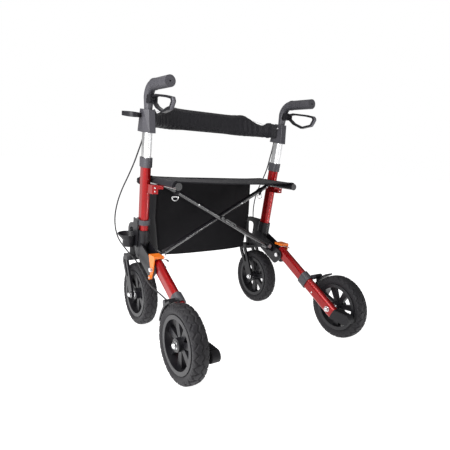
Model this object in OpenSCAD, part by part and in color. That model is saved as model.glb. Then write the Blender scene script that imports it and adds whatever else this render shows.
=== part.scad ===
// All terrain rollator: two side frames joined by a folding cross brace, with four large wheels.
// X points to the user's right, Y in the direction of travel and Z up. The origin is on the floor,
// midway between the wheels. Each side piece is drawn for the right side and mirrored for the left.

/* [Wheels] */
// Outer diameter of each tyre
tyre_d = 230; // [222:1:236]
// Width of each tyre
tyre_w = 48; // [44:1:50]
// Height of the tyre's section above its rim
tyre_h = 35; // [32:1:38]
// Number of spokes in a rim
spokes = 7; // [5:1:9]
// Distance between the front and the rear axles
wheelbase = 430; // [420:1:445]
// Distance of each rear wheel from the middle
rear_wheel_x = 330; // [327:1:345]
// Distance of each front wheel from the middle
front_wheel_x = 277; // [272:1:282]
// Distance of the caster's swivel ahead of its axle
caster_trail = 58; // [52:1:64]
// Diameter of the wheel axles
axle_d = 10; // [8:0.5:12]

/* [Side frame] */
// Distance of the upright's foot from the middle
side_x = 280; // [277:1:284]
// Distance of the upright's foot ahead of the middle
foot_y = 200; // [196:1:204]
// Height of the upright's foot
foot_z = 268; // [264:1:272]
// Backward lean of the uprights in degrees
lean = 5.7; // [4.5:0.1:7]
// Outward splay of the uprights in degrees
splay = 1.6; // [0:0.1:2]
// Side to side width of the upright tube
upright_w = 30; // [28:0.5:32]
// Front to back depth of the upright tube
upright_d = 46; // [44:0.5:48]
// Wall of the oval tubes
tube_wall = 1.5; // [1.2:0.1:2]
// Height of the upright's top end above the seat rails
upright_rise = 68; // [62:1:74]

/* [Handles] */
// Length of the handle tube that shows above the upright
tube_show = 98; // [97:1:115]
// Height of the handle block
block_h = 74; // [68:1:80]
// Side to side width of the handle block
block_w = 36; // [35:0.5:40]
// Diameter of the bent handle bar
bar_d = 33; // [30:1:34]
// Radius of the bend in the handle bar
bend_r = 42; // [38:1:46]
// Diameter of the grip
grip_d = 36; // [34:1:38]
// Length of the grip
grip_len = 113; // [100:1:118]
// Length of the brake lever behind its pivot
lever_len = 146; // [138:1:154]
// Height of the brake lever's loop
lever_h = 53; // [48:1:58]

/* [Seat and brace] */
// Distance of each seat rail from the middle
rail_x = 250; // [247:1:252]
// Height of the seat rails
rail_z = 536; // [528:1:544]
// Diameter of the seat rails
rail_d = 25; // [22:0.5:26]
// Length of the seat rails
rail_len = 213; // [205:1:216]
// Diameter of the cross brace tubes
brace_d = 17; // [15:0.5:18]
// Distance of the brace's lower pivots from the middle
brace_x = 238.5; // [236:0.5:240]
// Height of the brace's lower pivots
brace_z = 280; // [276:1:284]
// Height of the backrest's middle
backrest_h = 94; // [84:1:100]
// Width of the bag at its bottom
bag_w = 402; // [390:1:410]
// Height of the bag
bag_h = 300; // [285:1:302]

/* [Rear legs] */
// Distance of each leg from the middle
leg_x = 279; // [276:1:282]
// Side to side width of the leg tube
leg_w = 27; // [25:0.5:28]
// Height of the leg tube's section
leg_h = 47; // [44:0.5:49]
// Distance of the leg's pivot ahead of the middle
leg_pivot_y = 66; // [62:1:70]
// Height of the leg's pivot
leg_pivot_z = 250; // [246:1:254]

/* [Cane holder] */
// Outer diameter of the cane cup's rim
cup_d = 66; // [62:1:66]
// Height of the cane cup
cup_h = 42; // [38:1:46]

/* [Hidden] */
$fn = 48;

// Clearances: fixed seats, running fits, and pieces that move past each other
fit_gap = 0.1;
run_gap = 0.05;
part_gap = 0.3;
cut = 2;

// Wheel details
tyre_r = tyre_d / 2;
rim_r = tyre_r - tyre_h;
rear_y = -wheelbase / 2;
front_y = wheelbase / 2;
bearing_d = 22;
bearing_w = 7;
hub_d = 40;
hub_w = 44;
nut_d = 16;
nut_len = 10;
head_len = 6;
rim_wall = 8;
rim_lip = 3;
lip_rise = 5;
spoke_t = 14;
spoke_hub_w = 15;
spoke_rim_w = 25;
// Half of the tyre's section: height above the rim seat, then distance from the wheel's middle
tyre_shares = [
    [0, 0.74], [0.14, 0.77], [0.32, 0.92], [0.52, 1], [0.74, 0.96], [0.92, 0.78],
    [1, 0.6], [1, 0.24], [0.91, 0.19], [0.91, 0.1], [1, 0.06]
];

// Oval tubes
handle_w = upright_w - 2 * tube_wall - 2 * run_gap;
handle_d = upright_d - 2 * tube_wall - 2 * run_gap;
handle_wall = 1.5;
collar_wall = 3.5;
collar_below = 18;
collar_above = 15;
upright_top_z = rail_z + upright_rise;
handle_insert = 154;
handle_tube_z = upright_top_z - handle_insert;
knob_drop = 73;
knob_z = upright_top_z - knob_drop;
knob_d = 28;
knob_len = 20;
knob_stud_d = 8;
knob_boss_d = 18;
knob_boss_len = 5;
knob_lobes = 6;
lobe_d = 7;

// Welded saddle that carries the seat rail
saddle_y0 = 108;
saddle_len = 26;
saddle_under = 8;
saddle_arm_w = 22;
saddle_arm_h = 30;
saddle_arm_in = 7;
saddle_lip = 6;

// Lower bracket
sleeve_wall = 4.5;
sleeve_len = 96;
sleeve_floor = 8;
arm_t = 20;
swivel_y = front_y + caster_trail;
crown_gap = 6;
crown_t = 14;
housing_d = 40;
housing_h = 38;
housing_roof = 6;
caster_bearing_d = 30;
caster_bearing_h = 8;
stem_d = 20;
stem_h = 30;
crown_top = tyre_d + crown_gap + crown_t;
housing_z = crown_top + part_gap;
housing_top = housing_z + housing_h;
arch_r = 31;
arch_reach = 17;
arch_rise = 52;
arch_start = 24;
root_r = 22;
nose_r = 22;
window_r = 14;
window_low_r = 11;
window_front = 18;
window_back = 11;
window_low = 18;
plate_t = 5;
plate_end_r = 20;
plate_heel_r = 17;
plate_heel_y = 18;
plate_heel_drop = 22;
plate_root_r = 28;
stop_from = 8;
stop_len = 34;
stop_t = 8;
ear_t = 6;
ear_r = 13;
brace_pin_d = 10;

// Rear leg
leg_drop = 12;
leg_front = 12;
leg_tail = 24;
leg_pivot_d = 10;
leg_gap = 0.5;
rear_z = tyre_r;
pivot_run = leg_pivot_y - rear_y;
pivot_rise = leg_pivot_z - rear_z;
pivot_reach = norm([pivot_run, pivot_rise]);
axle_run = sqrt(pow(pivot_reach, 2) - pow(leg_drop, 2));
leg_slope = atan2(pivot_rise, pivot_run) + asin(leg_drop / pivot_reach);
shoe_gap = 4;
shoe_t = 6;
shoe_w = 34;
shoe_pin_d = 8;
shoe_pin_out = 23;
shoe_boss_d = 18;
shoe_web_r = 6;
// Angles of the brake shoe round the axle, from the leg's own slope
shoe_pin_turn = 10.1;
shoe_from_turn = -15.9;
shoe_to_turn = 32.1;
shoe_web_turn = 3.1;
shoe_pin_r = tyre_r + shoe_pin_out;
shoe_pin_angle = leg_slope + shoe_pin_turn;
shoe_from = leg_slope + shoe_from_turn;
shoe_to = leg_slope + shoe_to_turn;
shoe_web_angle = leg_slope + shoe_web_turn;
shoe_boss_end = rear_wheel_x + shoe_w / 4;
leg_collar_ahead = 13.6;
leg_collar_run = axle_run - shoe_pin_r * cos(shoe_pin_turn) - leg_collar_ahead;
leg_collar_len = 36;
leg_collar_wall = 4.5;
lug_t = 10;
pedal_h = 38;
pedal_len = 79;
pedal_root = 12;
pedal_plug = 11;
pedal_groove = 3;
pedal_grooves = 5;
pedal_pitch = 10;

// Orange latch on the outer side of the leg, with a bar over the leg's top
cheek_t = 3.2;
cheek_r = 11;
latch_edge_r = 3;
latch_bar_z = 39;
latch_bar_t = 8;
latch_bar_back = 16;
latch_bar_front = 28;
latch_in = 14;
latch_foot_y = 8;
latch_foot_z = 29;
latch_foot_r = 7;
latch_foot_w = 9;

// Fork
arm_gap = 7;
fork_arm_t = 8;
fork_end_r = 15;
fork_top_r = 21;
fork_top_drop = 9;
fork_top_y = 6;
slot_r = 6.5;
slot_share = 0.42;
crown_back = 26;
crown_front = 30;
crown_round = 12;

// Handles
block_z = upright_top_z + tube_show;
block_top_z = block_z + block_h;
block_shift = 2;
block_front = 38;
block_back = 34;
block_top_front = 24;
block_top_back = 22;
block_slant = 12;
block_slant_len = 30;
block_top_slant_len = 18;
block_round = 3;
block_lip = 4;
block_socket = 24;
neck_d = 27;
bar_rise = 37;
spigot_d = 22;
grip_wall_end = 4;
grip_hole_d = 6;
grip_groove = 2;
grip_collar = 8;
grip_rings = 5;
grip_ring_step = 11;
housing_w = 26;
lever_back = 33;
lever_below_bar = 48;
lever_bar = 7;
lever_t = 14;
lever_boss_d = 18;
lever_eye_d = 14;
lever_pin_d = 6;
// Centreline of the brake lever's loop from its pivot, in shares of its length and height
lever_shares = [
    [0.03, 0.08], [-0.22, 0.17], [-0.7, 0.02], [-0.95, -0.11], [-0.99, -0.3],
    [-0.9, -0.68], [-0.57, -0.83], [-0.26, -0.53], [-0.04, -0.12]
];

// Seat, brace and soft pieces
rail_wall = 2;
cap_len = 14;
cap_lip = 3;
brace_gap = 2;
brace_y = 126;
brace_a_y = brace_y + (brace_d + brace_gap) / 2;
brace_b_y = brace_y - (brace_d + brace_gap) / 2;
brace_slope = atan2(rail_z - brace_z, rail_x + brace_x);
brace_mid_z = brace_z + brace_x * tan(brace_slope);
brace_len = norm([rail_x + brace_x, rail_z - brace_z]);
eye_d = 27;
eye_w = 24;
link_from = 16;
link_to = 74;
link_w = 15;
link_t = 3;
link_slot_w = 5;
link_in = 1;
cross_d = 8;
cross_head_d = 15;
cross_head = 5;
sling_t = 2.5;
sling_sag = 4;
sling_steps = 24;
wrap_steps = 6;
sling_inset = 6;
backrest_t = 22;
backrest_up = 14;
backrest_z = block_z + backrest_up;
backrest_bow = 110;
backrest_steps = 28;
backrest_bow_power = 4;
backrest_end_share = 0.55;
backrest_dip_share = 0.66;
backrest_bump_share = 0.09;
backrest_flat_share = 0.6;
backrest_low_share = 0.88;
backrest_bump_at_share = 0.94;
backrest_bump_w_share = 0.06;
// Outline of the backrest's section: distance from its middle, then height
backrest_shares = [
    [-0.5, 0.12], [-0.5, 0.88], [-0.2, 1], [0.2, 1], [0.5, 0.88], [0.5, 0.12], [0.2, 0], [-0.2, 0]
];
bag_mid_w = 440;
bag_mid_share = 0.5;
bag_top_w = 432;
bag_depth = 86;
bag_back_y = 226;
bag_flap_y = 180;
bag_wall = 2.5;
bag_top_z = rail_z + rail_d / 2 - sling_sag;

// Cane cup and loop on the left side
cup_wall = 3;
cup_floor = 4;
cup_up = 32;
cup_z = foot_z + cup_up;
cup_arm_t = 4;
cup_arm_w = 38;
cup_arm_back = 8;
rim_out = 3;
rim_ahead = 10;
socket_d = 36;
socket_h = 22;
band_up = 116;
band_z = foot_z + band_up;
band_h = 18;
band_wall = 6.5;
loop_w = 47;
loop_len = 88;
loop_ahead = 14;
loop_bar = 4;
loop_h = 15;
loop_up = 46;
loop_z = block_z + loop_up;
// Axis of the cane outward and forward of the upright's axis, the same for the cup and the loop
cane_out = block_w / 2 + block_shift + part_gap / 3 + loop_w / 2;
cane_y = 24;

// Brake cables, from the handle block to the brake on the leg
cable_d = 5;
// Down the upright: outward and forward of its axis, then the share of the way from the block to its foot
left_cable_shares = [
    [-0.2, 28.5, -0.0046], [2.4, 31.1, 0.0507], [8.4, 43.6, 0.1313], [16.8, 64.6, 0.2465],
    [27.2, 89.6, 0.3618], [39.6, 112.7, 0.477], [51, 124.7, 0.5922], [58.4, 126.7, 0.7074],
    [58.7, 119.2, 0.8111], [52.8, 102.4, 0.8986], [41.6, 73.6, 0.9631], [35, 36, 1]
];
right_cable_shares = [
    [-0.2, 28.5, -0.0046], [1.4, 31.1, 0.0507], [4.4, 34.6, 0.1313], [7.8, 44.6, 0.2465],
    [12.2, 71.6, 0.3618], [16.6, 100.7, 0.477], [20, 115.7, 0.5922], [23.4, 118.7, 0.7074],
    [26.7, 110.2, 0.8111], [29.8, 92.4, 0.8986], [31.6, 65.6, 0.9631], [33, 32, 1]
];
// Along the leg: outward of its middle, then along it and above it from its pivot
leg_cable = [
    [34, 113.4, -50.9], [35, 62.6, -39.9], [36, 13.5, -36.5], [35, -30.3, -33.8],
    [26, -72.2, -27.4], [14, -114.6, -22], [7, -141.3, -19.2], [4, -153.9, -19.3]
];
cable_sides = 8;

// Axis of the upright at a height, and the length of tube between two heights
function up_x(z) = side_x + (z - foot_z) * tan(splay) / cos(lean);
function up_y(z) = foot_y - (z - foot_z) * tan(lean);
function up_run(z0, z1) = (z1 - z0) / (cos(lean) * cos(splay));

// A point of the leg's own frame, in the side plane
function leg_point(p) = [
    leg_pivot_y + p[0] * cos(leg_slope) - p[1] * sin(leg_slope),
    leg_pivot_z + p[0] * sin(leg_slope) + p[1] * cos(leg_slope)
];

// A point round the rear axle, in the side plane
function shoe_point(r, angle) = [rear_y + r * cos(angle), rear_z + r * sin(angle)];

// Place shapes on the upright's axis, on the leg's pivot, or on the other side
module on_upright(z) {
    translate([up_x(z), up_y(z), z])
        rotate([lean, 0, 0])
            rotate([0, splay, 0])
                children();
}

module on_leg() {
    translate([leg_x, leg_pivot_y, leg_pivot_z])
        rotate([leg_slope, 0, 0])
            children();
}

module other_side() {
    mirror([1, 0, 0])
        children();
}

// Turn a Z axis shape to lie along X or Y, or stand an outline up in the side plane
module along_x() {
    rotate([0, 90, 0])
        children();
}

module along_y() {
    rotate([-90, 0, 0])
        children();
}

module side_plate(t) {
    rotate([90, 0, 90])
        linear_extrude(t, center = true)
            children();
}

module dot(p, r) {
    translate(p)
        circle(r = r, $fn = 32);
}

// Oval outline with round ends, width along X and depth along Y
module oval(w, d) {
    square([w, d - w], center = true);
    for (end = [-1, 1])
        translate([0, end * (d - w) / 2])
            circle(d = w);
}

module oval_tube(w, d, wall, len) {
    difference() {
        linear_extrude(len)
            oval(w, d);
        translate([0, 0, -cut])
            linear_extrude(len + 2 * cut)
                oval(w - 2 * wall, d - 2 * wall);
    }
}

module ring(outer_d, inner_d, h) {
    difference() {
        cylinder(d = outer_d, h = h);
        translate([0, 0, -cut])
            cylinder(d = inner_d, h = h + 2 * cut);
    }
}

// Upright: oval tube with a hole for the height knob and a welded saddle for the seat rail
module upright() {
    color("firebrick") {
        difference() {
            on_upright(foot_z)
                oval_tube(upright_w, upright_d, tube_wall, up_run(foot_z, upright_top_z));
            on_upright(knob_z)
                along_y()
                    cylinder(d = knob_stud_d + 2 * run_gap, h = upright_d);
        }
        difference() {
            saddle();
            on_upright(foot_z)
                linear_extrude(up_run(foot_z, upright_top_z))
                    oval(upright_w - tube_wall, upright_d - tube_wall);
        }
    }
}

module saddle() {
    bed_z = rail_z - rail_d / 2 - part_gap;
    arm_z = bed_z + saddle_lip - saddle_arm_h;
    arm_x = up_x(arm_z) - saddle_arm_w / 2 - saddle_arm_in;
    difference() {
        union() {
            translate([rail_x, saddle_y0, bed_z - saddle_under])
                cube([arm_x + cut - rail_x, saddle_len, saddle_under + saddle_lip]);
            translate([arm_x, saddle_y0, arm_z])
                cube([saddle_arm_w, up_y(arm_z) - saddle_y0, saddle_arm_h]);
        }
        translate([rail_x, saddle_y0 - cut, rail_z])
            along_y()
                cylinder(d = rail_d + 2 * part_gap, h = saddle_len + 2 * cut);
    }
}

// Grey collar that closes the top of the upright round the handle tube
module collar() {
    color("dimgray")
        difference() {
            on_upright(upright_top_z - collar_below)
                linear_extrude(up_run(0, collar_below + collar_above))
                    oval(upright_w + 2 * collar_wall, upright_d + 2 * collar_wall);
            on_upright(upright_top_z - collar_below - cut)
                linear_extrude(up_run(0, collar_below + cut))
                    oval(upright_w + 2 * fit_gap, upright_d + 2 * fit_gap);
            on_upright(upright_top_z)
                translate([0, 0, -fit_gap])
                    linear_extrude(up_run(0, collar_above + cut))
                        oval(handle_w + 2 * part_gap, handle_d + 2 * part_gap);
        }
}

// Clamping knob on the front of the upright, with its stud through the tube's wall
module height_knob() {
    stud_from = handle_d / 2 + part_gap;
    knob_from = upright_d / 2 + part_gap;
    color("black")
        on_upright(knob_z)
            along_y() {
                translate([0, 0, stud_from])
                    cylinder(d = knob_stud_d, h = knob_from - stud_from + knob_boss_len);
                translate([0, 0, knob_from])
                    cylinder(d = knob_boss_d, h = knob_boss_len);
                translate([0, 0, knob_from + knob_boss_len])
                    difference() {
                        cylinder(d = knob_d, h = knob_len - knob_boss_len);
                        for (i = [0:knob_lobes - 1])
                            rotate(i * 360 / knob_lobes)
                                translate([knob_d / 2 + lobe_d / 4, 0, -cut])
                                    cylinder(d = lobe_d, h = knob_len + 2 * cut);
                    }
            }
}

// Silver inner tube that carries the handle block and slides in the upright
module handle_tube() {
    color("silver")
        on_upright(handle_tube_z)
            oval_tube(handle_w, handle_d, handle_wall, up_run(handle_tube_z, block_z + block_socket));
}

// Grey block that joins the handle tube, the handle bar and the backrest
module handle_block() {
    rise = up_run(0, block_h);
    color("gray")
        difference() {
            on_upright(block_z)
                hull() {
                    linear_extrude(block_lip)
                        block_outline(block_back, block_front, block_slant_len);
                    translate([0, 0, rise - block_lip])
                        linear_extrude(block_lip)
                            block_outline(block_top_back, block_top_front, block_top_slant_len);
                }
            on_upright(block_z - cut)
                linear_extrude(up_run(0, block_socket + cut) + fit_gap)
                    oval(handle_w + 2 * fit_gap, handle_d + 2 * fit_gap);
        }
}

// The block from above: a box whose outer rear corner is cut off by a slanted face
module block_outline(back, front, slant_len) {
    inner = block_shift - block_w / 2;
    outer = block_shift + block_w / 2;
    offset(r = block_round)
        offset(delta = -block_round)
            polygon([
                [inner, -back], [outer - block_slant, -back], [outer, slant_len - back],
                [outer, front], [inner, front]
            ]);
}

// Bent bar: rises from the block, bends back and ends in a spigot inside the grip
module handle_bar() {
    color("dimgray") {
        bent_bar(0);
        grip_place()
            translate([0, 0, -cut])
                cylinder(d = spigot_d, h = grip_len - grip_wall_end - part_gap + cut);
    }
}

module bent_bar(grow) {
    on_upright(block_top_z) {
        translate([0, 0, fit_gap])
            cylinder(d1 = neck_d + grow, d2 = bar_d + grow, h = bar_rise - fit_gap);
        translate([0, -bend_r, bar_rise])
            rotate([90, 0, 90])
                rotate_extrude(angle = 90 - lean)
                    translate([bend_r, 0])
                        circle(d = bar_d + grow);
    }
}

// The grip's own axis: starts at the bend's end and points backward
module grip_place() {
    on_upright(block_top_z)
        translate([0, -bend_r, bar_rise])
            rotate([-lean, 0, 0])
                translate([0, 0, bend_r])
                    rotate([90, 0, 0])
                        children();
}

// Rubber grip with a collar and ring grooves near the bend, and a closed end with a small hole
module grip() {
    color("darkslategray")
        grip_place()
            difference() {
                union() {
                    translate([0, 0, part_gap])
                        cylinder(d = grip_d, h = grip_len - part_gap);
                    translate([0, 0, part_gap])
                        cylinder(d = grip_d + grip_groove, h = grip_collar);
                }
                translate([0, 0, -cut])
                    cylinder(d = spigot_d + 2 * fit_gap, h = grip_len - grip_wall_end + cut);
                cylinder(d = grip_hole_d, h = grip_len + cut);
                for (i = [1:grip_rings])
                    translate([0, 0, grip_collar + i * grip_ring_step])
                        difference() {
                            cylinder(d = grip_d + 2 * cut, h = grip_groove);
                            translate([0, 0, -cut])
                                cylinder(d = grip_d - grip_groove, h = grip_groove + 2 * cut);
                        }
            }
}

lever_z = block_top_z + bar_rise + bend_r - lever_below_bar;
lever_y = up_y(lever_z) - lever_back;
lever_x = up_x(lever_z);

// Block behind the bar that holds the lever's pivot pin
module lever_housing() {
    color("black") {
        difference() {
            translate([lever_x - housing_w / 2, lever_y - lever_boss_d / 2, lever_z - housing_w / 2])
                cube([housing_w, lever_back, housing_w]);
            bent_bar(2 * fit_gap);
            translate([lever_x, lever_y - cut, lever_z])
                cube([lever_t + 2 * part_gap, lever_boss_d + 3 * cut, housing_w + cut], center = true);
            translate([lever_x, lever_y, lever_z])
                along_x()
                    cylinder(d = lever_pin_d + 2 * fit_gap, h = housing_w + cut, center = true);
        }
        translate([lever_x, lever_y, lever_z])
            along_x()
                cylinder(d = lever_pin_d, h = housing_w, center = true);
    }
}

// Loop shaped brake lever below the grip
module brake_lever() {
    loop = [for (s = lever_shares) [s[0] * lever_len, s[1] * lever_h]];
    color("black")
        translate([lever_x, lever_y, lever_z])
            difference() {
                union() {
                    side_plate(lever_t)
                        difference() {
                            offset(r = lever_bar / 2)
                                polygon(loop);
                            offset(delta = -lever_bar / 2)
                                polygon(loop);
                        }
                    along_x()
                        cylinder(d = lever_eye_d, h = lever_t, center = true);
                }
                along_x()
                    cylinder(d = lever_pin_d + 2 * run_gap, h = lever_t + cut, center = true);
            }
}

// Lower bracket: socket for the upright, arched arm to the swivel, and clevis plates for the leg
module bracket(pivot_y) {
    color("black")
        difference() {
            union() {
                bracket_socket();
                bracket_arm();
                bracket_clevis();
                bracket_ears(pivot_y);
            }
            on_upright(foot_z - fit_gap)
                linear_extrude(2 * sleeve_len)
                    oval(upright_w + 2 * fit_gap, upright_d + 2 * fit_gap);
            translate([front_wheel_x, swivel_y, housing_z - cut])
                cylinder(d = caster_bearing_d + 2 * fit_gap, h = housing_h - housing_roof + cut);
            translate([leg_x, leg_pivot_y, leg_pivot_z])
                along_x()
                    cylinder(d = leg_pivot_d + 2 * fit_gap, h = housing_d + leg_w, center = true);
            translate([brace_x, pivot_y, brace_z])
                along_y()
                    cylinder(d = brace_pin_d + 2 * fit_gap, h = 2 * eye_d, center = true);
        }
}

module bracket_socket() {
    on_upright(foot_z - sleeve_floor)
        linear_extrude(sleeve_len + sleeve_floor)
            oval(upright_w + 2 * sleeve_wall, upright_d + 2 * sleeve_wall);
}

module bracket_arm() {
    arch_z = housing_top + arch_rise;
    translate([front_wheel_x, 0, 0])
        side_plate(arm_t)
            difference() {
                hull() {
                    dot([foot_y + arch_start, arch_z], arch_r);
                    dot([swivel_y + arch_reach, arch_z], arch_r);
                    dot([swivel_y, housing_z + nose_r], nose_r);
                    dot([foot_y, housing_z + root_r], root_r);
                }
                hull() {
                    dot([swivel_y + window_front, arch_z], window_r);
                    dot([swivel_y - window_back, arch_z], window_r);
                    dot([swivel_y + window_front, housing_top + window_low + cut], window_low_r);
                    dot([swivel_y - window_back, housing_top + window_low], window_low_r);
                }
            }
    translate([front_wheel_x, swivel_y, housing_z])
        cylinder(d = housing_d, h = housing_h);
}

module bracket_clevis() {
    span = leg_w + 2 * leg_gap;
    for (side = [-1, 1])
        translate([leg_x + side * (span + plate_t) / 2, 0, 0])
            side_plate(plate_t)
                hull() {
                    dot([leg_pivot_y, leg_pivot_z], plate_end_r);
                    dot([leg_pivot_y + plate_heel_y, leg_pivot_z - plate_heel_drop], plate_heel_r);
                    dot([foot_y, foot_z + plate_root_r], plate_root_r);
                }
    on_leg()
        translate([-span / 2 - cut, stop_from, leg_drop - leg_h / 2 - part_gap - stop_t])
            cube([span + 2 * cut, stop_len, stop_t]);
}

module bracket_ears(pivot_y) {
    inner = leg_x - leg_w / 2 - leg_gap - plate_t / 2;
    for (side = [-1, 1])
        translate([0, pivot_y + side * (eye_w / 2 + part_gap + ear_t / 2), 0])
            rotate([90, 0, 0])
                linear_extrude(ear_t, center = true)
                    hull() {
                        dot([brace_x, brace_z], ear_r);
                        dot([inner - ear_t, brace_z - ear_r], ear_t);
                        translate([inner - cut, brace_z - 2 * ear_r])
                            square([cut, 2 * ear_r]);
                    }
}

// Steel fasteners of the bracket: leg pivot bolt, brace pin and the swivel's two bearings
module bracket_bolts(pivot_y) {
    bolt_half = leg_w / 2 + leg_gap + plate_t + 2 * part_gap + cheek_t;
    pin_half = eye_w / 2 + part_gap + ear_t;
    color("silver") {
        translate([leg_x, leg_pivot_y, leg_pivot_z])
            along_x() {
                cylinder(d = leg_pivot_d, h = 2 * bolt_half, center = true);
                for (side = [0, 1])
                    mirror([0, 0, side])
                        translate([0, 0, bolt_half])
                            cylinder(d = nut_d, h = head_len);
            }
        translate([brace_x, pivot_y, brace_z])
            along_y() {
                cylinder(d = brace_pin_d, h = 2 * pin_half, center = true);
                for (side = [0, 1])
                    mirror([0, 0, side])
                        translate([0, 0, pin_half])
                            cylinder(d = nut_d, h = head_len);
            }
        for (z = [housing_z, housing_top - housing_roof - caster_bearing_h])
            translate([front_wheel_x, swivel_y, z])
                ring(caster_bearing_d, stem_d + 2 * run_gap, caster_bearing_h);
    }
}

// Rear leg: oval tube with holes for its pivot and for the axle
module leg() {
    color("firebrick")
        on_leg()
            difference() {
                translate([0, -axle_run - leg_tail, leg_drop])
                    along_y()
                        oval_tube(leg_w, leg_h, tube_wall, axle_run + leg_tail + leg_front);
                along_x()
                    cylinder(d = leg_pivot_d + 2 * run_gap, h = leg_w + cut, center = true);
                translate([0, -axle_run, leg_drop])
                    along_x()
                        cylinder(d = axle_d + 2 * fit_gap, h = leg_w + cut, center = true);
            }
}

// Orange latch that turns on the leg's pivot bolt: a cheek outside the bracket and a bar over the leg
module latch() {
    inside = leg_w / 2 + leg_gap + plate_t + part_gap;
    top_z = latch_bar_z + latch_bar_t - latch_edge_r;
    color("darkorange")
        translate([leg_x, leg_pivot_y, leg_pivot_z])
            difference() {
                union() {
                    translate([inside + cheek_t / 2, 0, 0])
                        side_plate(cheek_t)
                            latch_cheek(top_z);
                    translate([-latch_in, -latch_bar_back, latch_bar_z])
                        cube([latch_in + inside + cut, latch_bar_back + latch_bar_front, latch_bar_t]);
                    translate([inside, latch_foot_y, -latch_foot_z])
                        along_x()
                            cylinder(r = latch_foot_r, h = latch_foot_w);
                }
                along_x()
                    cylinder(d = leg_pivot_d + 2 * run_gap, h = 4 * inside, center = true);
            }
}

module latch_cheek(top_z) {
    hull() {
        dot([0, 0], cheek_r);
        dot([latch_edge_r - latch_bar_back, top_z], latch_edge_r);
        dot([latch_bar_front - latch_edge_r, top_z], latch_edge_r);
    }
    hull() {
        dot([0, 0], cheek_r);
        dot([latch_foot_y, -latch_foot_z], latch_foot_r);
    }
}

// Grey collar on the leg with the stud that the brake shoe turns on
module leg_collar() {
    pin = shoe_point(shoe_pin_r, shoe_pin_angle);
    lug_x = leg_x + leg_w / 2;
    color("dimgray") {
        difference() {
            union() {
                on_leg()
                    translate([0, -leg_collar_run - leg_collar_len / 2, leg_drop])
                        along_y()
                            linear_extrude(leg_collar_len)
                                oval(leg_w + 2 * leg_collar_wall, leg_h + 2 * leg_collar_wall);
                translate([lug_x - cut, pin[0], pin[1]])
                    along_x()
                        cylinder(d = shoe_boss_d, h = lug_t + cut);
            }
            on_leg()
                translate([0, -leg_collar_run - leg_collar_len, leg_drop])
                    along_y()
                        linear_extrude(2 * leg_collar_len)
                            oval(leg_w + 2 * fit_gap, leg_h + 2 * fit_gap);
        }
        translate([lug_x + lug_t - cut, pin[0], pin[1]])
            along_x()
                cylinder(d = shoe_pin_d, h = shoe_boss_end - lug_x - lug_t + cut);
    }
}

// Brake shoe: curved pad in front of the tyre, hung on the collar's stud
module brake_shoe() {
    pin = shoe_point(shoe_pin_r, shoe_pin_angle);
    inner_x = leg_x + leg_w / 2 + lug_t + part_gap;
    pad_r = tyre_r + shoe_gap;
    color("black")
        difference() {
            union() {
                translate([rear_wheel_x, rear_y, rear_z])
                    rotate([90, 0, 90])
                        translate([0, 0, -shoe_w / 2])
                            rotate(shoe_from)
                                rotate_extrude(angle = shoe_to - shoe_from)
                                    translate([pad_r, 0])
                                        square([shoe_t, shoe_w]);
                translate([inner_x, pin[0], pin[1]])
                    along_x()
                        cylinder(d = shoe_boss_d, h = shoe_boss_end - inner_x);
                translate([rear_wheel_x, 0, 0])
                    side_plate(shoe_w / 2)
                        hull() {
                            dot(pin, shoe_boss_d / 2 - fit_gap);
                            dot(shoe_point(pad_r + shoe_t, shoe_web_angle), shoe_web_r);
                        }
            }
            translate([inner_x - cut, pin[0], pin[1]])
                along_x()
                    cylinder(d = shoe_pin_d + 2 * run_gap, h = shoe_boss_end - inner_x + 2 * cut);
        }
}

// Ribbed curb pedal: plugged into the leg's lower end, its body level behind the leg
module curb_pedal() {
    color("black")
        on_leg()
            translate([0, -axle_run - leg_tail, leg_drop]) {
                translate([0, -cut, 0])
                    along_y()
                        linear_extrude(pedal_plug + cut)
                            oval(leg_w - 2 * tube_wall - 2 * fit_gap, leg_h - 2 * tube_wall - 2 * fit_gap);
                difference() {
                    rotate([-leg_slope, 0, 0])
                        pedal_body();
                    translate([-leg_w, -fit_gap, -leg_h])
                        cube([2 * leg_w, leg_h, 2 * leg_h]);
                }
            }
}

module pedal_body() {
    end_y = pedal_h / 2 - pedal_len;
    difference() {
        union() {
            translate([-leg_w / 2, end_y, -pedal_h / 2])
                cube([leg_w, pedal_root - end_y, pedal_h]);
            translate([0, end_y, 0])
                along_x()
                    cylinder(d = pedal_h, h = leg_w, center = true);
        }
        for (i = [0:pedal_grooves - 1])
            translate([0, end_y + i * pedal_pitch, pedal_h / 2])
                cube([leg_w + cut, pedal_groove, 2 * pedal_groove], center = true);
    }
}

// Wheel pieces, drawn round X at the wheel's middle
module tyre() {
    half = [for (s = tyre_shares) [rim_r + s[0] * (tyre_r - rim_r), s[1] * tyre_w / 2]];
    back = [for (i = [len(half) - 1:-1:0]) [half[i][0], -half[i][1]]];
    color("dimgray")
        along_x()
            rotate_extrude()
                polygon(concat(half, back));
}

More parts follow.
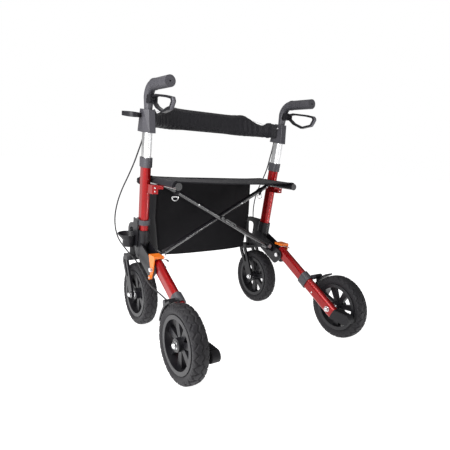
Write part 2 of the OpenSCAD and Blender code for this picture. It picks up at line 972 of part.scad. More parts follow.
module rim() {
    seat_r = rim_r - fit_gap;
    lip_x = tyre_shares[1][1] * tyre_w / 2 + part_gap;
    lip_r = rim_r + lip_rise;
    bore_r = rim_r - rim_wall;
    color("black")
        along_x()
            difference() {
                union() {
                    rotate_extrude()
                        polygon([
                            [bore_r, -lip_x - rim_lip], [lip_r, -lip_x - rim_lip], [lip_r, -lip_x],
                            [seat_r, -lip_x], [seat_r, lip_x], [lip_r, lip_x],
                            [lip_r, lip_x + rim_lip], [bore_r, lip_x + rim_lip]
                        ]);
                    cylinder(d = hub_d, h = hub_w, center = true);
                    for (i = [0:spokes - 1])
                        rotate(i * 360 / spokes)
                            linear_extrude(spoke_t, center = true)
                                polygon([
                                    [bearing_d / 2, -spoke_hub_w / 2], [rim_r - rim_wall / 2, -spoke_rim_w / 2],
                                    [rim_r - rim_wall / 2, spoke_rim_w / 2], [bearing_d / 2, spoke_hub_w / 2]
                                ]);
                }
                cylinder(d = bearing_d + 2 * run_gap, h = hub_w + cut, center = true);
            }
}

// Axle bolt with a head at the inner end, a dome nut at the outer end, two bearings and spacers.
// inner and outer are the distances from the wheel's middle to the faces that the bolt clamps.
module axle_set(inner, outer) {
    color("silver")
        along_x() {
            translate([0, 0, -inner - head_len])
                cylinder(d = nut_d, h = head_len);
            translate([0, 0, -inner - cut])
                cylinder(d = axle_d, h = inner + outer + cut + nut_len / 2);
            translate([0, 0, outer + fit_gap])
                difference() {
                    union() {
                        cylinder(d = nut_d, h = nut_len - fit_gap - nut_len / 4);
                        cylinder(d = axle_d + tube_wall, h = nut_len - fit_gap);
                    }
                    translate([0, 0, -cut])
                        cylinder(d = axle_d + 2 * fit_gap, h = nut_len / 2 + cut + fit_gap);
                }
            for (end = [-hub_w / 2, hub_w / 2 - bearing_w])
                translate([0, 0, end])
                    ring(bearing_d, axle_d + 2 * run_gap, bearing_w);
        }
}

module spacer(from, to) {
    color("silver")
        translate([from, 0, 0])
            along_x()
                ring(axle_d + 2 * tube_wall + 2 * run_gap, axle_d + 2 * run_gap, to - from);
}

module at_rear() {
    translate([rear_wheel_x, rear_y, tyre_r])
        children();
}

module at_front() {
    translate([front_wheel_x, front_y, tyre_r])
        children();
}

module rear_axle() {
    at_rear() {
        axle_set(rear_wheel_x - leg_x + leg_w / 2, hub_w / 2);
        spacer(leg_x + leg_w / 2 + fit_gap - rear_wheel_x, -hub_w / 2 - fit_gap);
    }
}

module front_axle() {
    arm_out = hub_w / 2 + arm_gap + fork_arm_t;
    at_front() {
        axle_set(arm_out, arm_out);
        for (side = [0, 1])
            mirror([side, 0, 0])
                spacer(hub_w / 2 + fit_gap, hub_w / 2 + arm_gap - fit_gap);
    }
}

// Caster fork: crown with a swivel stem and two slotted arms that trail back to the axle
module fork() {
    arm_mid = hub_w / 2 + arm_gap + fork_arm_t / 2;
    crown_z = tyre_d + crown_gap;
    top = [swivel_y + fork_top_y, crown_z - fork_top_drop];
    axle = [front_y, tyre_r];
    low = top + slot_share * (axle - top);
    color("black")
        difference() {
            union() {
                for (side = [-1, 1])
                    translate([front_wheel_x + side * arm_mid, 0, 0])
                        side_plate(fork_arm_t)
                            difference() {
                                hull() {
                                    dot(axle, fork_end_r);
                                    dot(top, fork_top_r);
                                }
                                hull() {
                                    dot(top, slot_r);
                                    dot(low, slot_r);
                                }
                            }
                translate([front_wheel_x - arm_mid - fork_arm_t / 2, swivel_y - crown_back, crown_z])
                    linear_extrude(crown_t)
                        offset(r = crown_round)
                            offset(delta = -crown_round)
                                square([2 * arm_mid + fork_arm_t, crown_back + crown_front]);
                translate([front_wheel_x, swivel_y, crown_z + crown_t - cut])
                    cylinder(d = stem_d, h = stem_h + cut);
            }
            at_front()
                along_x()
                    cylinder(d = axle_d + 2 * fit_gap, h = 4 * arm_mid, center = true);
        }
}

// Seat rail: round tube with a domed cap in each end
module seat_rail() {
    bore = rail_d - 2 * rail_wall;
    color("black")
        translate([rail_x, 0, rail_z])
            along_y() {
                ring(rail_d, bore, rail_len);
                for (end = [0, 1])
                    translate([0, 0, end * rail_len])
                        mirror([0, 0, end])
                            translate([0, 0, -cap_lip - fit_gap]) {
                                cylinder(d = rail_d, h = cap_lip);
                                cylinder(d = bore - 2 * fit_gap, h = cap_len);
                            }
            }
}

// Cross brace tube, drawn from a pivot on the left up to the right rail
module brace(y) {
    color("black")
        difference() {
            union() {
                translate([-brace_x, y, brace_z])
                    rotate([0, 90 - brace_slope, 0])
                        cylinder(d = brace_d, h = brace_len);
                translate([-brace_x, y, brace_z])
                    along_y()
                        cylinder(d = eye_d, h = eye_w, center = true);
            }
            translate([rail_x, 0, rail_z])
                along_y()
                    cylinder(d = rail_d + 2 * fit_gap, h = rail_len);
            translate([-brace_x, y, brace_z])
                along_y()
                    cylinder(d = brace_pin_d + 2 * run_gap, h = eye_w + cut, center = true);
            translate([0, y, brace_mid_z])
                along_y()
                    cylinder(d = cross_d + 2 * run_gap, h = brace_d + cut, center = true);
        }
}

// Slotted strap on the rear side of a brace tube, from beside the crossing toward the lower pivot
module brace_link(y) {
    color("black")
        translate([0, y - brace_d / 2 + link_in, brace_mid_z])
            rotate([90, -brace_slope, 0])
                translate([-(link_from + link_to) / 2, 0, 0])
                    linear_extrude(link_t + link_in)
                        rotate(90)
                            difference() {
                                oval(link_w, link_to - link_from);
                                oval(link_slot_w, link_to - link_from - link_w + link_slot_w);
                            }
}

module slotted_brace(y) {
    brace(y);
    brace_link(y);
}

// Bolt that joins the two brace tubes where they cross
module cross_bolt() {
    half = brace_d + brace_gap / 2 + part_gap;
    color("silver")
        translate([0, brace_y, brace_mid_z])
            along_y() {
                cylinder(d = cross_d, h = 2 * half, center = true);
                for (side = [0, 1])
                    mirror([0, 0, side])
                        translate([0, 0, half])
                            cylinder(d = cross_head_d, h = cross_head);
            }
}

// Fabric seat: a sheet that sags between the rails and wraps over them
module seat_sling() {
    inner_r = rail_d / 2 + part_gap;
    outer_r = inner_r + sling_t;
    over = [for (i = [0:wrap_steps]) 90 * (1 - i / wrap_steps)];
    mid = [for (i = [0:sling_steps]) -1 + 2 * i / sling_steps];
    top = [for (s = mid) [s * rail_x, rail_z + outer_r - sling_sag * (1 - s * s)]];
    low = [for (i = [sling_steps:-1:0]) top[i] - [0, sling_t]];
    right_out = [for (a = over) [rail_x + outer_r * cos(a), rail_z + outer_r * sin(a)]];
    right_in = [for (i = [wrap_steps:-1:0]) [rail_x + inner_r * cos(over[i]), rail_z + inner_r * sin(over[i])]];
    left_in = [for (i = [wrap_steps:-1:0]) [-right_in[i][0], right_in[i][1]]];
    left_out = [for (i = [wrap_steps:-1:0]) [-right_out[i][0], right_out[i][1]]];
    color("black")
        translate([0, rail_len - sling_inset, 0])
            rotate([90, 0, 0])
                linear_extrude(rail_len - 2 * sling_inset)
                    polygon(concat(top, right_out, right_in, low, left_in, left_out));
}

// Height of the backrest's top edge along its length, as a share of its full height
function ease(t) = let (u = max(0, min(1, t))) u * u * (3 - 2 * u);
function backrest_top(s) =
    let (a = abs(s))
    1 - (1 - backrest_dip_share) * ease((a - backrest_flat_share) / (backrest_low_share - backrest_flat_share))
      + backrest_bump_share * (1 - ease(abs(a - backrest_bump_at_share) / backrest_bump_w_share));

// Padded backrest strap between the handle blocks, bowed forward, thinner at its edges and ends
module backrest() {
    half = up_x(backrest_z) - block_w / 2 + block_shift - 3 * part_gap;
    n = len(backrest_shares);
    points = [
        for (i = [0:backrest_steps])
            let (s = -1 + 2 * i / backrest_steps, rise = 1 - pow(abs(s), backrest_bow_power))
            let (y = up_y(backrest_z) + backrest_bow * rise, h = backrest_h * backrest_top(s))
            let (t = backrest_t * (backrest_end_share + (1 - backrest_end_share) * rise))
            for (p = backrest_shares)
                [s * half, y + p[0] * t, backrest_z + p[1] * h]
    ];
    sides = [
        for (i = [0:backrest_steps - 1], j = [0:n - 1])
            let (a = i * n + j, b = i * n + (j + 1) % n)
            each [[a, b, a + n], [b, b + n, a + n]]
    ];
    first = [for (j = [1:n - 2]) [0, j + 1, j]];
    last = [for (j = [1:n - 2]) [0, j, j + 1] + backrest_steps * n * [1, 1, 1]];
    color("black")
        polyhedron(points, concat(sides, first, last));
}

// Shopping bag ahead of the brace: an open topped pouch, hung by a flap below the seat
module bag() {
    color("black") {
        difference() {
            bag_body(bag_top_z, 0);
            bag_body(bag_top_z + cut, bag_wall);
        }
        translate([-bag_top_w / 2, bag_flap_y, bag_top_z - bag_wall])
            cube([bag_top_w, bag_back_y - bag_flap_y + bag_wall, bag_wall]);
    }
}

module bag_body(top_z, inset) {
    base_z = bag_top_z - bag_h;
    hull() {
        bag_slice(bag_w, base_z + inset, inset);
        bag_slice(bag_mid_w, base_z + bag_mid_share * bag_h, inset);
        bag_slice(bag_top_w, top_z - bag_wall, inset);
    }
}

module bag_slice(w, z, inset) {
    translate([-w / 2 + inset, bag_back_y + inset, z])
        cube([w - 2 * inset, bag_depth - 2 * inset, bag_wall]);
}

// Cane cup: a funnel above a round socket, on an arm that hangs from the band
module cane_cup() {
    arm_x = upright_w / 2 + band_wall + fit_gap;
    color("black")
        other_side()
            on_upright(cup_z)
                difference() {
                    union() {
                        translate([arm_x, -cup_arm_back, 0])
                            cube([cup_arm_t, cup_arm_w, up_run(cup_z, band_z) + band_h]);
                        translate([cane_out, cane_y, 0])
                            cylinder(d = socket_d + 2 * cup_wall, h = socket_h);
                        cup_funnel(0, cup_h);
                    }
                    translate([cane_out, cane_y, cup_floor])
                        cylinder(d = socket_d, h = cup_h);
                    cup_funnel(cup_wall, cup_h + cut);
                }
}

module cup_funnel(inset, top) {
    hull() {
        translate([cane_out, cane_y, socket_h])
            cylinder(d = socket_d + 2 * cup_wall - 2 * inset, h = fit_gap);
        translate([cane_out + rim_out, cane_y + rim_ahead, top - cut])
            cylinder(d = cup_d - 2 * inset, h = cut);
    }
}

// Grey band round the left upright that carries the cane cup's arm
module cane_band() {
    color("dimgray")
        other_side()
            on_upright(band_z)
                oval_tube(upright_w + 2 * band_wall, upright_d + 2 * band_wall, band_wall - fit_gap, band_h);
}

// Loop on the left handle block that steadies the cane's upper end, in line with the cup
module cane_loop() {
    color("black")
        other_side()
            on_upright(loop_z)
                translate([cane_out, cane_y + loop_ahead, 0])
                    oval_tube(loop_w, loop_len, loop_bar, loop_h);
}

// Route of a cable on one side, down the upright and then along the leg
function upper_route(side, shares) = [
    for (p = shares)
        let (z = block_z - p[2] * (block_z - foot_z))
        [side * (up_x(z) + p[0]), up_y(z) + p[1], z]
];
function leg_route(side) = [
    for (p = leg_cable)
        let (q = leg_point([p[1], p[2]]))
        [side * (leg_x + p[0]), q[0], q[1]]
];

// Cable: a tube swept along its route with one ring of points at each route point
function unit(v) = v / norm(v);
function route_dir(route, i) =
    unit(route[min(i + 1, len(route) - 1)] - route[max(i - 1, 0)]);

module brake_cable(route) {
    n = cable_sides;
    last = len(route) - 1;
    points = [
        for (i = [0:last])
            let (d = route_dir(route, i), u = unit(cross(d, [1, 0, 0])), v = cross(d, u))
            for (j = [0:n - 1])
                route[i] + cable_d / 2 * (cos(j * 360 / n) * u + sin(j * 360 / n) * v)
    ];
    sides = [
        for (i = [0:last - 1], j = [0:n - 1])
            let (a = i * n + j, b = i * n + (j + 1) % n)
            each [[a, a + n, b], [b, a + n, b + n]]
    ];
    first = [for (j = [1:n - 2]) [0, j, j + 1]];
    end = [for (j = [1:n - 2]) [0, j + 1, j] + last * n * [1, 1, 1]];
    color("black")
        polyhedron(points, concat(sides, first, end));
}

other_side() upright();  // left_upright
upright();  // right_upright
other_side() collar();  // left_collar
collar();  // right_collar
other_side() height_knob();  // left_height_knob
height_knob();  // right_height_knob
other_side() handle_tube();  // left_handle_tube
handle_tube();  // right_handle_tube
other_side() handle_block();  // left_handle_block
handle_block();  // right_handle_block
other_side() handle_bar();  // left_handle_bar
handle_bar();  // right_handle_bar
other_side() grip();  // left_grip
grip();  // right_grip
other_side() lever_housing();  // left_lever_housing
lever_housing();  // right_lever_housing
other_side() brake_lever();  // left_brake_lever
brake_lever();  // right_brake_lever
other_side() bracket(brace_a_y);  // left_bracket
bracket(brace_b_y);  // right_bracket
other_side() bracket_bolts(brace_a_y);  // left_bracket_bolts
bracket_bolts(brace_b_y);  // right_bracket_bolts
other_side() leg();  // left_leg
leg();  // right_leg
other_side() latch();  // left_latch
latch();  // right_latch
other_side() leg_collar();  // left_leg_collar
leg_collar();  // right_leg_collar
other_side() brake_shoe();  // left_brake_shoe
brake_shoe();  // right_brake_shoe
other_side() curb_pedal();  // left_curb_pedal
curb_pedal();  // right_curb_pedal
other_side() rear_axle();  // left_rear_axle
rear_axle();  // right_rear_axle
other_side() at_rear() rim();  // left_rear_rim
at_rear() rim();  // right_rear_rim
other_side() at_rear() tyre();  // left_rear_tyre
at_rear() tyre();  // right_rear_tyre
other_side() fork();  // left_fork
fork();  // right_fork
other_side() front_axle();  // left_front_axle
front_axle();  // right_front_axle
other_side() at_front() rim();  // left_front_rim
at_front() rim();  // right_front_rim
other_side() at_front() tyre();  // left_front_tyre
at_front() tyre();  // right_front_tyre
brake_cable(concat(upper_route(-1, left_cable_shares), leg_route(-1)));  // left_brake_cable
brake_cable(concat(upper_route(1, right_cable_shares), leg_route(1)));  // right_brake_cable
other_side() seat_rail();  // left_seat_rail
seat_rail();  // right_seat_rail
brace(brace_a_y);  // brace_a
other_side() slotted_brace(brace_b_y);  // brace_b
cross_bolt();
seat_sling();
backrest();
bag();
cane_cup();
cane_band();
cane_loop();
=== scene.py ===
"""Looks of an all terrain rollator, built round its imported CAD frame.

The frame gives every rigid piece. This script adds the cloth, the treaded tyres, the cables, small
hardware, finishes, the camera and the studio. Tables are in millimetres, Blender is in metres.
"""

import math

import bmesh
import bpy
from bpy.props import FloatProperty, FloatVectorProperty, IntProperty, PointerProperty
from mathutils import Matrix, Vector, noise
from mathutils.bvhtree import BVHTree


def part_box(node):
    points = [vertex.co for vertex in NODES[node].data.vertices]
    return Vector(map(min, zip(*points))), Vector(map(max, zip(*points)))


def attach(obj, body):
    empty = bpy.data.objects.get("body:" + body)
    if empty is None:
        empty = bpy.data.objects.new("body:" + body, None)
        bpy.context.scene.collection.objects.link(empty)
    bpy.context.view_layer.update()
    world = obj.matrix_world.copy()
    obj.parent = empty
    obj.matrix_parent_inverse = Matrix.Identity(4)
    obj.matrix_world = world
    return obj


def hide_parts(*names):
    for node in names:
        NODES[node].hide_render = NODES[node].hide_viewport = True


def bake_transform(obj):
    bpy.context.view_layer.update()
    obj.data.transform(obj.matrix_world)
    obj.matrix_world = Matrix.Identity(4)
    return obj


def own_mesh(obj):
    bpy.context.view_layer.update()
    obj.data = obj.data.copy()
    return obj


bl_info = {
    "name": "All terrain rollator",
    "version": (1, 0, 0),
    "blender": (4, 5, 0),
    "location": "3D View > Sidebar > Rollator",
    "description": "Dresses the packed rollator frame with cloth, tyres, cables, hardware and finishes",
    "category": "Object",
}

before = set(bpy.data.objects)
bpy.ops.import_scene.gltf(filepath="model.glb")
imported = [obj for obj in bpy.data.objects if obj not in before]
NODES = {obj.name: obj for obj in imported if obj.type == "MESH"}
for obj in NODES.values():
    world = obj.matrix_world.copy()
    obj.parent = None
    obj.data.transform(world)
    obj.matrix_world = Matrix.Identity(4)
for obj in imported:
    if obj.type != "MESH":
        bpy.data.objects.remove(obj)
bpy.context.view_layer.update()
MM = 0.001
SIDES = (("left", -1), ("right", 1))
OUT, IN, BACK = (1, 0, 0), (-1, 0, 0), (0, -1, 0)

# Points of the right side's frame that the dressing lines up with, in millimetres
LEG_PIVOT = Vector((279, 66, 250))
LEG_SLOPE = math.radians(27.87)
LEG_HALF_W = 13.5
REAR_AXLE_Y, FRONT_AXLE_Y, AXLE_Z = -215, 215, 115
RAIL_X, RAIL_Z, RAIL_R = 250, 536, 12.5
BRACE_SLOPE = math.atan2(256, 488.5)
BRACE_MID_Z, BRACE_R = 405, 8.5
BRACE_Y = {"left": 116.5, "right": 135.5}
BRACE_BODY = {"left": "brace_b_arm", "right": "brace_a_arm"}
UPRIGHT_FOOT = Vector((280, 200, 268))
UPRIGHT_LEAN, UPRIGHT_SPLAY = math.radians(5.7), math.radians(1.6)
BLOCK_OUT, BLOCK_IN = 20, -16
LEVER_PIVOT = Vector((295.13, 113.2, 807))
LEVER_LENGTH, LEVER_HEIGHT = 146, 53

# Brake cables, in millimetres. They run as in the CAD model, but for the top of the right one, which lies
# further ahead, to clear the knob when the handles are low
CABLE_D = 5
CABLE_TOPS = {
    "left": (
        (-292, 185, 704), (-294, 190, 680), (-299, 206, 645), (-306, 232, 595), (-315, 262, 545),
        (-326, 290, 495), (-336, 307, 445), (-342, 314, 395), (-341, 311, 350), (-334, 298, 312),
        (-322, 272, 284), (-315, 236, 268),
    ),
    "right": (
        (292, 185, 704), (293, 191, 680), (295, 203, 645), (297, 220, 595), (300, 247, 545),
        (303, 278, 495), (305, 298, 445), (307, 306, 395), (309, 302, 350), (311, 288, 312),
        (312, 264, 284), (313, 232, 268),
    ),
}
CABLE_ENDS = (
    (313, 190, 258), (314, 140, 244), (315, 95, 224), (314, 55, 206), (305, 15, 192),
    (293, -25, 177), (286, -50, 167), (283, -61, 161),
)
# Points of a cable where it parts in two, and where each part would start and end its bend, which the script
# leaves unbent
CABLE_SPLIT, CABLE_BENDS = 10, ((1, 8), (13, 16))

# A path steeper than this has no level side to start from
STEEP = 0.9
NEARLY_ZERO = 1e-9
THREAD_SIDES = 6


# Settings


def colour(name, description, value):
    return FloatVectorProperty(name=name, description=description, subtype="COLOR", default=value)


def length(name, description, value):
    return FloatProperty(name=name, description=description, unit="LENGTH", precision=4, default=value)


class RollatorFinish(bpy.types.PropertyGroup):
    """Colours of the finishes."""

    red: colour("Frame red", "Candy red of the oval tubes", (0.27, 0.0012, 0.0025))
    silver: colour("Tube silver", "Polished inner tubes", (0.88, 0.88, 0.89))
    grey: colour("Moulded grey", "Handle blocks, bars, grips and collars", (0.049, 0.0475, 0.056))
    black: colour("Black", "Coated steel and moulded black pieces", (0.009, 0.0086, 0.0108))
    orange: colour("Latch orange", "Latches on the rear legs", (0.9, 0.205, 0.014))
    tyre: colour("Tyre black", "Tyre rubber", (0.0138, 0.013, 0.0156))
    cloth: colour("Cloth black", "Seat, backrest and bag", (0.0082, 0.0078, 0.01))


class RollatorCloth(bpy.types.PropertyGroup):
    """Sizes of the cloth pieces."""

    seat_sag: length("Seat sag", "Dip of the seat between its rails", 0.004)
    seat_thickness: length("Seat thickness", "Thickness of the seat cloth", 0.0022)
    backrest_swell: length("Backrest swell", "Furthest that the padding may push the cover out", 0.006)
    pleat_depth: length("Pleat depth", "Depth of the backrest's upright wrinkles", 0.0017)
    bag_thickness: length("Bag thickness", "Thickness of the bag cloth", 0.0016)
    bag_crease: length("Bag crease", "Depth of the bag's creases", 0.004)


class RollatorTread(bpy.types.PropertyGroup):
    """Tread of the tyres."""

    repeats: IntProperty(name="Repeats", description="Waves of the tread round a tyre", default=26, min=8)
    depth: length("Depth", "Depth of the grooves", 0.0032)
    groove: length("Groove", "Half width of the grooves", 0.0017)


class RollatorStage(bpy.types.PropertyGroup):
    """Camera and studio."""

    lens: FloatProperty(
        name="Lens", description="Focal length in millimetres on a 36 mm sensor", default=32.805)
    floor: colour("Floor", "Colour of the floor", (0.86, 0.86, 0.86))
    glow: FloatProperty(
        name="Floor glow", description="Light that the floor gives by itself, mostly to the eye",
        default=0.93)
    backdrop: FloatProperty(
        name="Backdrop", description="Brightness of the room behind the object", default=1.0)
    room: FloatProperty(
        name="Room light", description="Strength of the even light from all sides", default=0.16)
    key: FloatProperty(
        name="Key light", description="Power of the large light on the left", unit="POWER", default=30)


# Mesh helpers


def mm(*values):
    return Vector(values) * MM


def new_piece(name, points, faces):
    mesh = bpy.data.meshes.new(name)
    mesh.from_pydata([tuple(p) for p in points], [], faces)
    mesh.update()
    mesh.shade_smooth()
    piece = bpy.data.objects.new(name, mesh)
    bpy.context.scene.collection.objects.link(piece)
    return piece


def grid_faces(rows, columns, closed=False):
    """Quads between rows of points; a closed grid joins each row's last point to its first."""
    faces = []
    for r in range(rows - 1):
        for c in range(columns if closed else columns - 1):
            a, b = r * columns + c, r * columns + (c + 1) % columns
            faces.append((a, b, b + columns, a + columns))
    return faces


def tube_faces(rows, columns, joined=False):
    """Faces of a tube of closed rows, which runs back into its first row or has a face at each end."""
    faces = grid_faces(rows, columns, closed=True)
    last = (rows - 1) * columns
    if joined:
        return faces + [(last + c, last + (c + 1) % columns, (c + 1) % columns, c) for c in range(columns)]
    return faces + [tuple(range(columns - 1, -1, -1)), tuple(range(last, last + columns))]


def smooth_route(points, steps):
    """Points along a smooth curve through the given points, with steps between each two."""
    points = [Vector(p) for p in points]
    made = []
    for i in range(len(points) - 1):
        p0, p1 = points[max(i - 1, 0)], points[i]
        p2, p3 = points[i + 1], points[min(i + 2, len(points) - 1)]
        for k in range(steps):
            t = k / steps
            made.append(
                0.5 * (2 * p1 + (p2 - p0) * t + (2 * p0 - 5 * p1 + 4 * p2 - p3) * t**2
                       + (3 * p1 - p0 - 3 * p2 + p3) * t**3)
            )
    return made + [points[-1]]


def sweep(path, section, closed=False):
    """Points and faces of a section, given as (side, up) pairs, carried along a path."""
    path = [Vector(p) for p in path]
    count, last = len(path), len(path) - 1
    points, side = [], None
    for i, p in enumerate(path):
        ahead = path[(i + 1) % count] if closed else path[min(i + 1, last)]
        behind = path[i - 1] if closed else path[max(i - 1, 0)]
        along = (ahead - behind).normalized()
        if side is None:
            side = along.orthogonal().normalized()
            if abs(along.z) < STEEP:
                side = along.cross(Vector((0, 0, 1))).normalized()
        side = (side - along * side.dot(along)).normalized()
        up = side.cross(along)
        points += [p + side * s + up * u for s, u in section]
    return points, tube_faces(count, len(section), joined=closed)


def around(sides):
    """Angles of evenly spaced points round a circle."""
    return [2 * math.pi * i / sides for i in range(sides)]


def round_section(radius, sides):
    return [(radius * math.cos(a), radius * math.sin(a)) for a in around(sides)]


def circle(radius, sides, height):
    return [Vector((x, y, height)) for x, y in round_section(radius, sides)]


def flat_section(width, thickness, corner=3):
    """Rounded strip section, width along the side and thickness along up."""
    r = thickness / 2
    made = []
    for end, start in ((1, -90), (-1, 90)):
        for k in range(corner + 1):
            a = math.radians(start + 180 * k / corner)
            made.append((end * (width / 2 - r) + r * math.cos(a), r * math.sin(a)))
    return made


def lathe(profile, sides):
    """Form turned round Z from (radius, height) pairs in millimetres; a radius of 0 closes it."""
    points, faces, rings = [], [], []
    for r, h in profile:
        made = circle(r * MM, sides, h * MM) if r else [Vector((0, 0, h * MM))]
        rings.append(range(len(points), len(points) + len(made)))
        points += made
    for low, high in zip(rings, rings[1:]):
        for i in range(sides):
            j = (i + 1) % sides
            corners = low[i % len(low)], low[j % len(low)], high[j % len(high)], high[i % len(high)]
            face = tuple(dict.fromkeys(corners))
            if len(face) > 2:
                faces.append(face)
    return points, faces


def runs_of(path):
    """How far along a path each of its points lies."""
    runs = [0.0]
    for a, b in zip(path, path[1:]):
        runs.append(runs[-1] + (b - a).length)
    return runs


def turn_faces_out(mesh):
    work = bmesh.new()
    work.from_mesh(mesh)
    bmesh.ops.recalc_face_normals(work, faces=work.faces)
    work.to_mesh(mesh)
    work.free()


def aim(at, axis):
    """Matrix that puts a Z axis form at a point, along an axis."""
    return Matrix.Translation(at) @ Vector(axis).normalized().to_track_quat("Z", "Y").to_matrix().to_4x4()


def merged(name, parts):
    """One piece from several (points, faces) pairs."""
    points, faces = [], []
    for part_points, part_faces in parts:
        faces += [tuple(i + len(points) for i in face) for face in part_faces]
        points += part_points
    return new_piece(name, points, faces)


def placed(part, matrix):
    points, faces = part
    return [matrix @ p for p in points], faces


def on_side(sign, point):
    """A point or an axis of the right side, or its mirror on the left side."""
    return Vector((sign * point[0], point[1], point[2]))


def on_upright(z, across, ahead):
    """Point near the right upright's axis at height z, moved outward and ahead, in millimetres."""
    rise = z - UPRIGHT_FOOT.z
    x = UPRIGHT_FOOT.x + rise * math.tan(UPRIGHT_SPLAY) / math.cos(UPRIGHT_LEAN) + across
    return x, UPRIGHT_FOOT.y - rise * math.tan(UPRIGHT_LEAN) + ahead, z


def on_leg(run, lift, across):
    """Point beside the right leg, run along it from its pivot and lift above its middle, in millimetres."""
    y = LEG_PIVOT.y + run * math.cos(LEG_SLOPE) - lift * math.sin(LEG_SLOPE)
    z = LEG_PIVOT.z + run * math.sin(LEG_SLOPE) + lift * math.cos(LEG_SLOPE)
    return LEG_PIVOT.x + across, y, z


def on_brace(side, sign, x, ahead=0):
    """Point of a brace tube's axis at a distance from the middle, moved ahead, in millimetres."""
    return sign * x, BRACE_Y[side] + ahead, BRACE_MID_Z + x * math.tan(BRACE_SLOPE)


def dress(piece, body, finish_name, node=None):
    """Gives a piece its finish and slot, and lets it ride on its body."""
    piece.data.materials.clear()
    piece.data.materials.append(finish(finish_name))
    if node:
        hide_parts(node)
    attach(piece, body)
    return piece


def crisp(piece, degrees):
    """Smooth shading that stays crisp over edges sharper than an angle."""
    piece.data.set_sharp_from_angle(angle=math.radians(degrees))


def dashes(path, stitch):
    """Small tubes along a path; a stitch is their length, gap and radius in millimetres."""
    reach, gap, radius = (size * MM for size in stitch)
    made, runs = [], runs_of(path)

    def at(distance):
        i = max(k for k, run in enumerate(runs[:-1]) if run <= distance)
        return path[i].lerp(path[i + 1], (distance - runs[i]) / max(runs[i + 1] - runs[i], NEARLY_ZERO))

    place = gap
    while place + reach < runs[-1]:
        ends = [at(place), at(place + reach / 2), at(place + reach)]
        made.append(sweep(ends, round_section(radius, THREAD_SIDES)))
        place += reach + gap
    return made


def bake_modifiers(context, piece):
    """Replaces a piece's mesh by what its modifiers make of it."""
    made = bpy.data.meshes.new_from_object(piece.evaluated_get(context.evaluated_depsgraph_get()))
    piece.modifiers.clear()
    old, piece.data = piece.data, made
    bpy.data.meshes.remove(old)
    made.shade_smooth()


def thicken(piece, thickness):
    solid = piece.modifiers.new("cloth thickness", "SOLIDIFY")
    solid.thickness, solid.offset = thickness, 0


# Finishes


def put_in(tree, node, values):
    """Gives a node's inputs constants, or links them to other nodes' outputs."""
    for key, value in values.items():
        if isinstance(value, bpy.types.NodeSocket):
            tree.links.new(value, node.inputs[key])
        else:
            node.inputs[key].default_value = value


def node_of(tree, kind, values=None, **settings):
    """Adds a node with its settings and the values of its inputs."""
    made = tree.nodes.new(kind)
    for key, setting in settings.items():
        setattr(made, key, setting)
    put_in(tree, made, values or {})
    return made


def math_of(tree, operation, a, b=0.0):
    return node_of(tree, "ShaderNodeMath", {0: a, 1: b}, operation=operation).outputs[0]


def times(tree, a, b):
    return math_of(tree, "MULTIPLY", a, b)


def plus(tree, a, b):
    return math_of(tree, "ADD", a, b)


def mix_of(tree, factor, a, b, blend="MIX"):
    values = {0: factor, 6: a, 7: b}
    return node_of(tree, "ShaderNodeMix", values, data_type="RGBA", blend_type=blend).outputs[2]


def ramp_of(tree, value, low, high):
    values = {"Value": value, "From Min": low, "From Max": high}
    return node_of(tree, "ShaderNodeMapRange", values, clamp=True).outputs["Result"]


def noise_of(tree, place, scale, detail):
    values = {"Vector": place, "Scale": scale, "Detail": detail}
    return node_of(tree, "ShaderNodeTexNoise", values).outputs["Fac"]


def bump_of(tree, height, strength, distance):
    values = {"Height": height, "Strength": strength, "Distance": distance}
    return node_of(tree, "ShaderNodeBump", values).outputs[0]


def normal_z(tree):
    normal = tree.nodes.new("ShaderNodeNewGeometry").outputs["Normal"]
    return node_of(tree, "ShaderNodeSeparateXYZ", {0: normal}).outputs["Z"]


def effect(name, outputs, **inputs):
    """A shader node group with a place and the given inputs, its input sockets and its output node."""
    tree = bpy.data.node_groups.new(name, "ShaderNodeTree")
    tree.interface.new_socket("Place", in_out="INPUT", socket_type="NodeSocketVector")
    for label, default in inputs.items():
        kind = "NodeSocketColor" if isinstance(default, tuple) else "NodeSocketFloat"
        tree.interface.new_socket(label, in_out="INPUT", socket_type=kind).default_value = default
    for label in outputs:
        kind = "NodeSocketColor" if label == "Color" else "NodeSocketFloat"
        tree.interface.new_socket(label, in_out="OUTPUT", socket_type=kind)
    return tree, tree.nodes.new("NodeGroupInput").outputs, tree.nodes.new("NodeGroupOutput")


def moulded_grain():
    """Fine grain with soft mottling of tone and gloss, for moulded and coated pieces."""
    tree, given, put = effect(
        "moulded grain", ("Color", "Roughness", "Height"),
        Colour=(0.1, 0.1, 0.1, 1), Scale=900.0, Mottle=0.2, Roughness=0.5, Spread=0.15)
    blotches = noise_of(tree, given["Place"], scale=22.0, detail=4.0)
    swing = math_of(tree, "SUBTRACT", blotches, 0.5)
    tone = plus(tree, times(tree, swing, given["Mottle"]), 1.0)
    shade = node_of(tree, "ShaderNodeCombineColor", {0: tone, 1: tone, 2: tone}).outputs[0]
    put_in(tree, put, {
        "Color": mix_of(tree, 1.0, given["Colour"], shade, "MULTIPLY"),
        "Roughness": plus(tree, given["Roughness"], times(tree, swing, given["Spread"])),
        "Height": noise_of(tree, given["Place"], given["Scale"], detail=3.0),
    })
    return tree


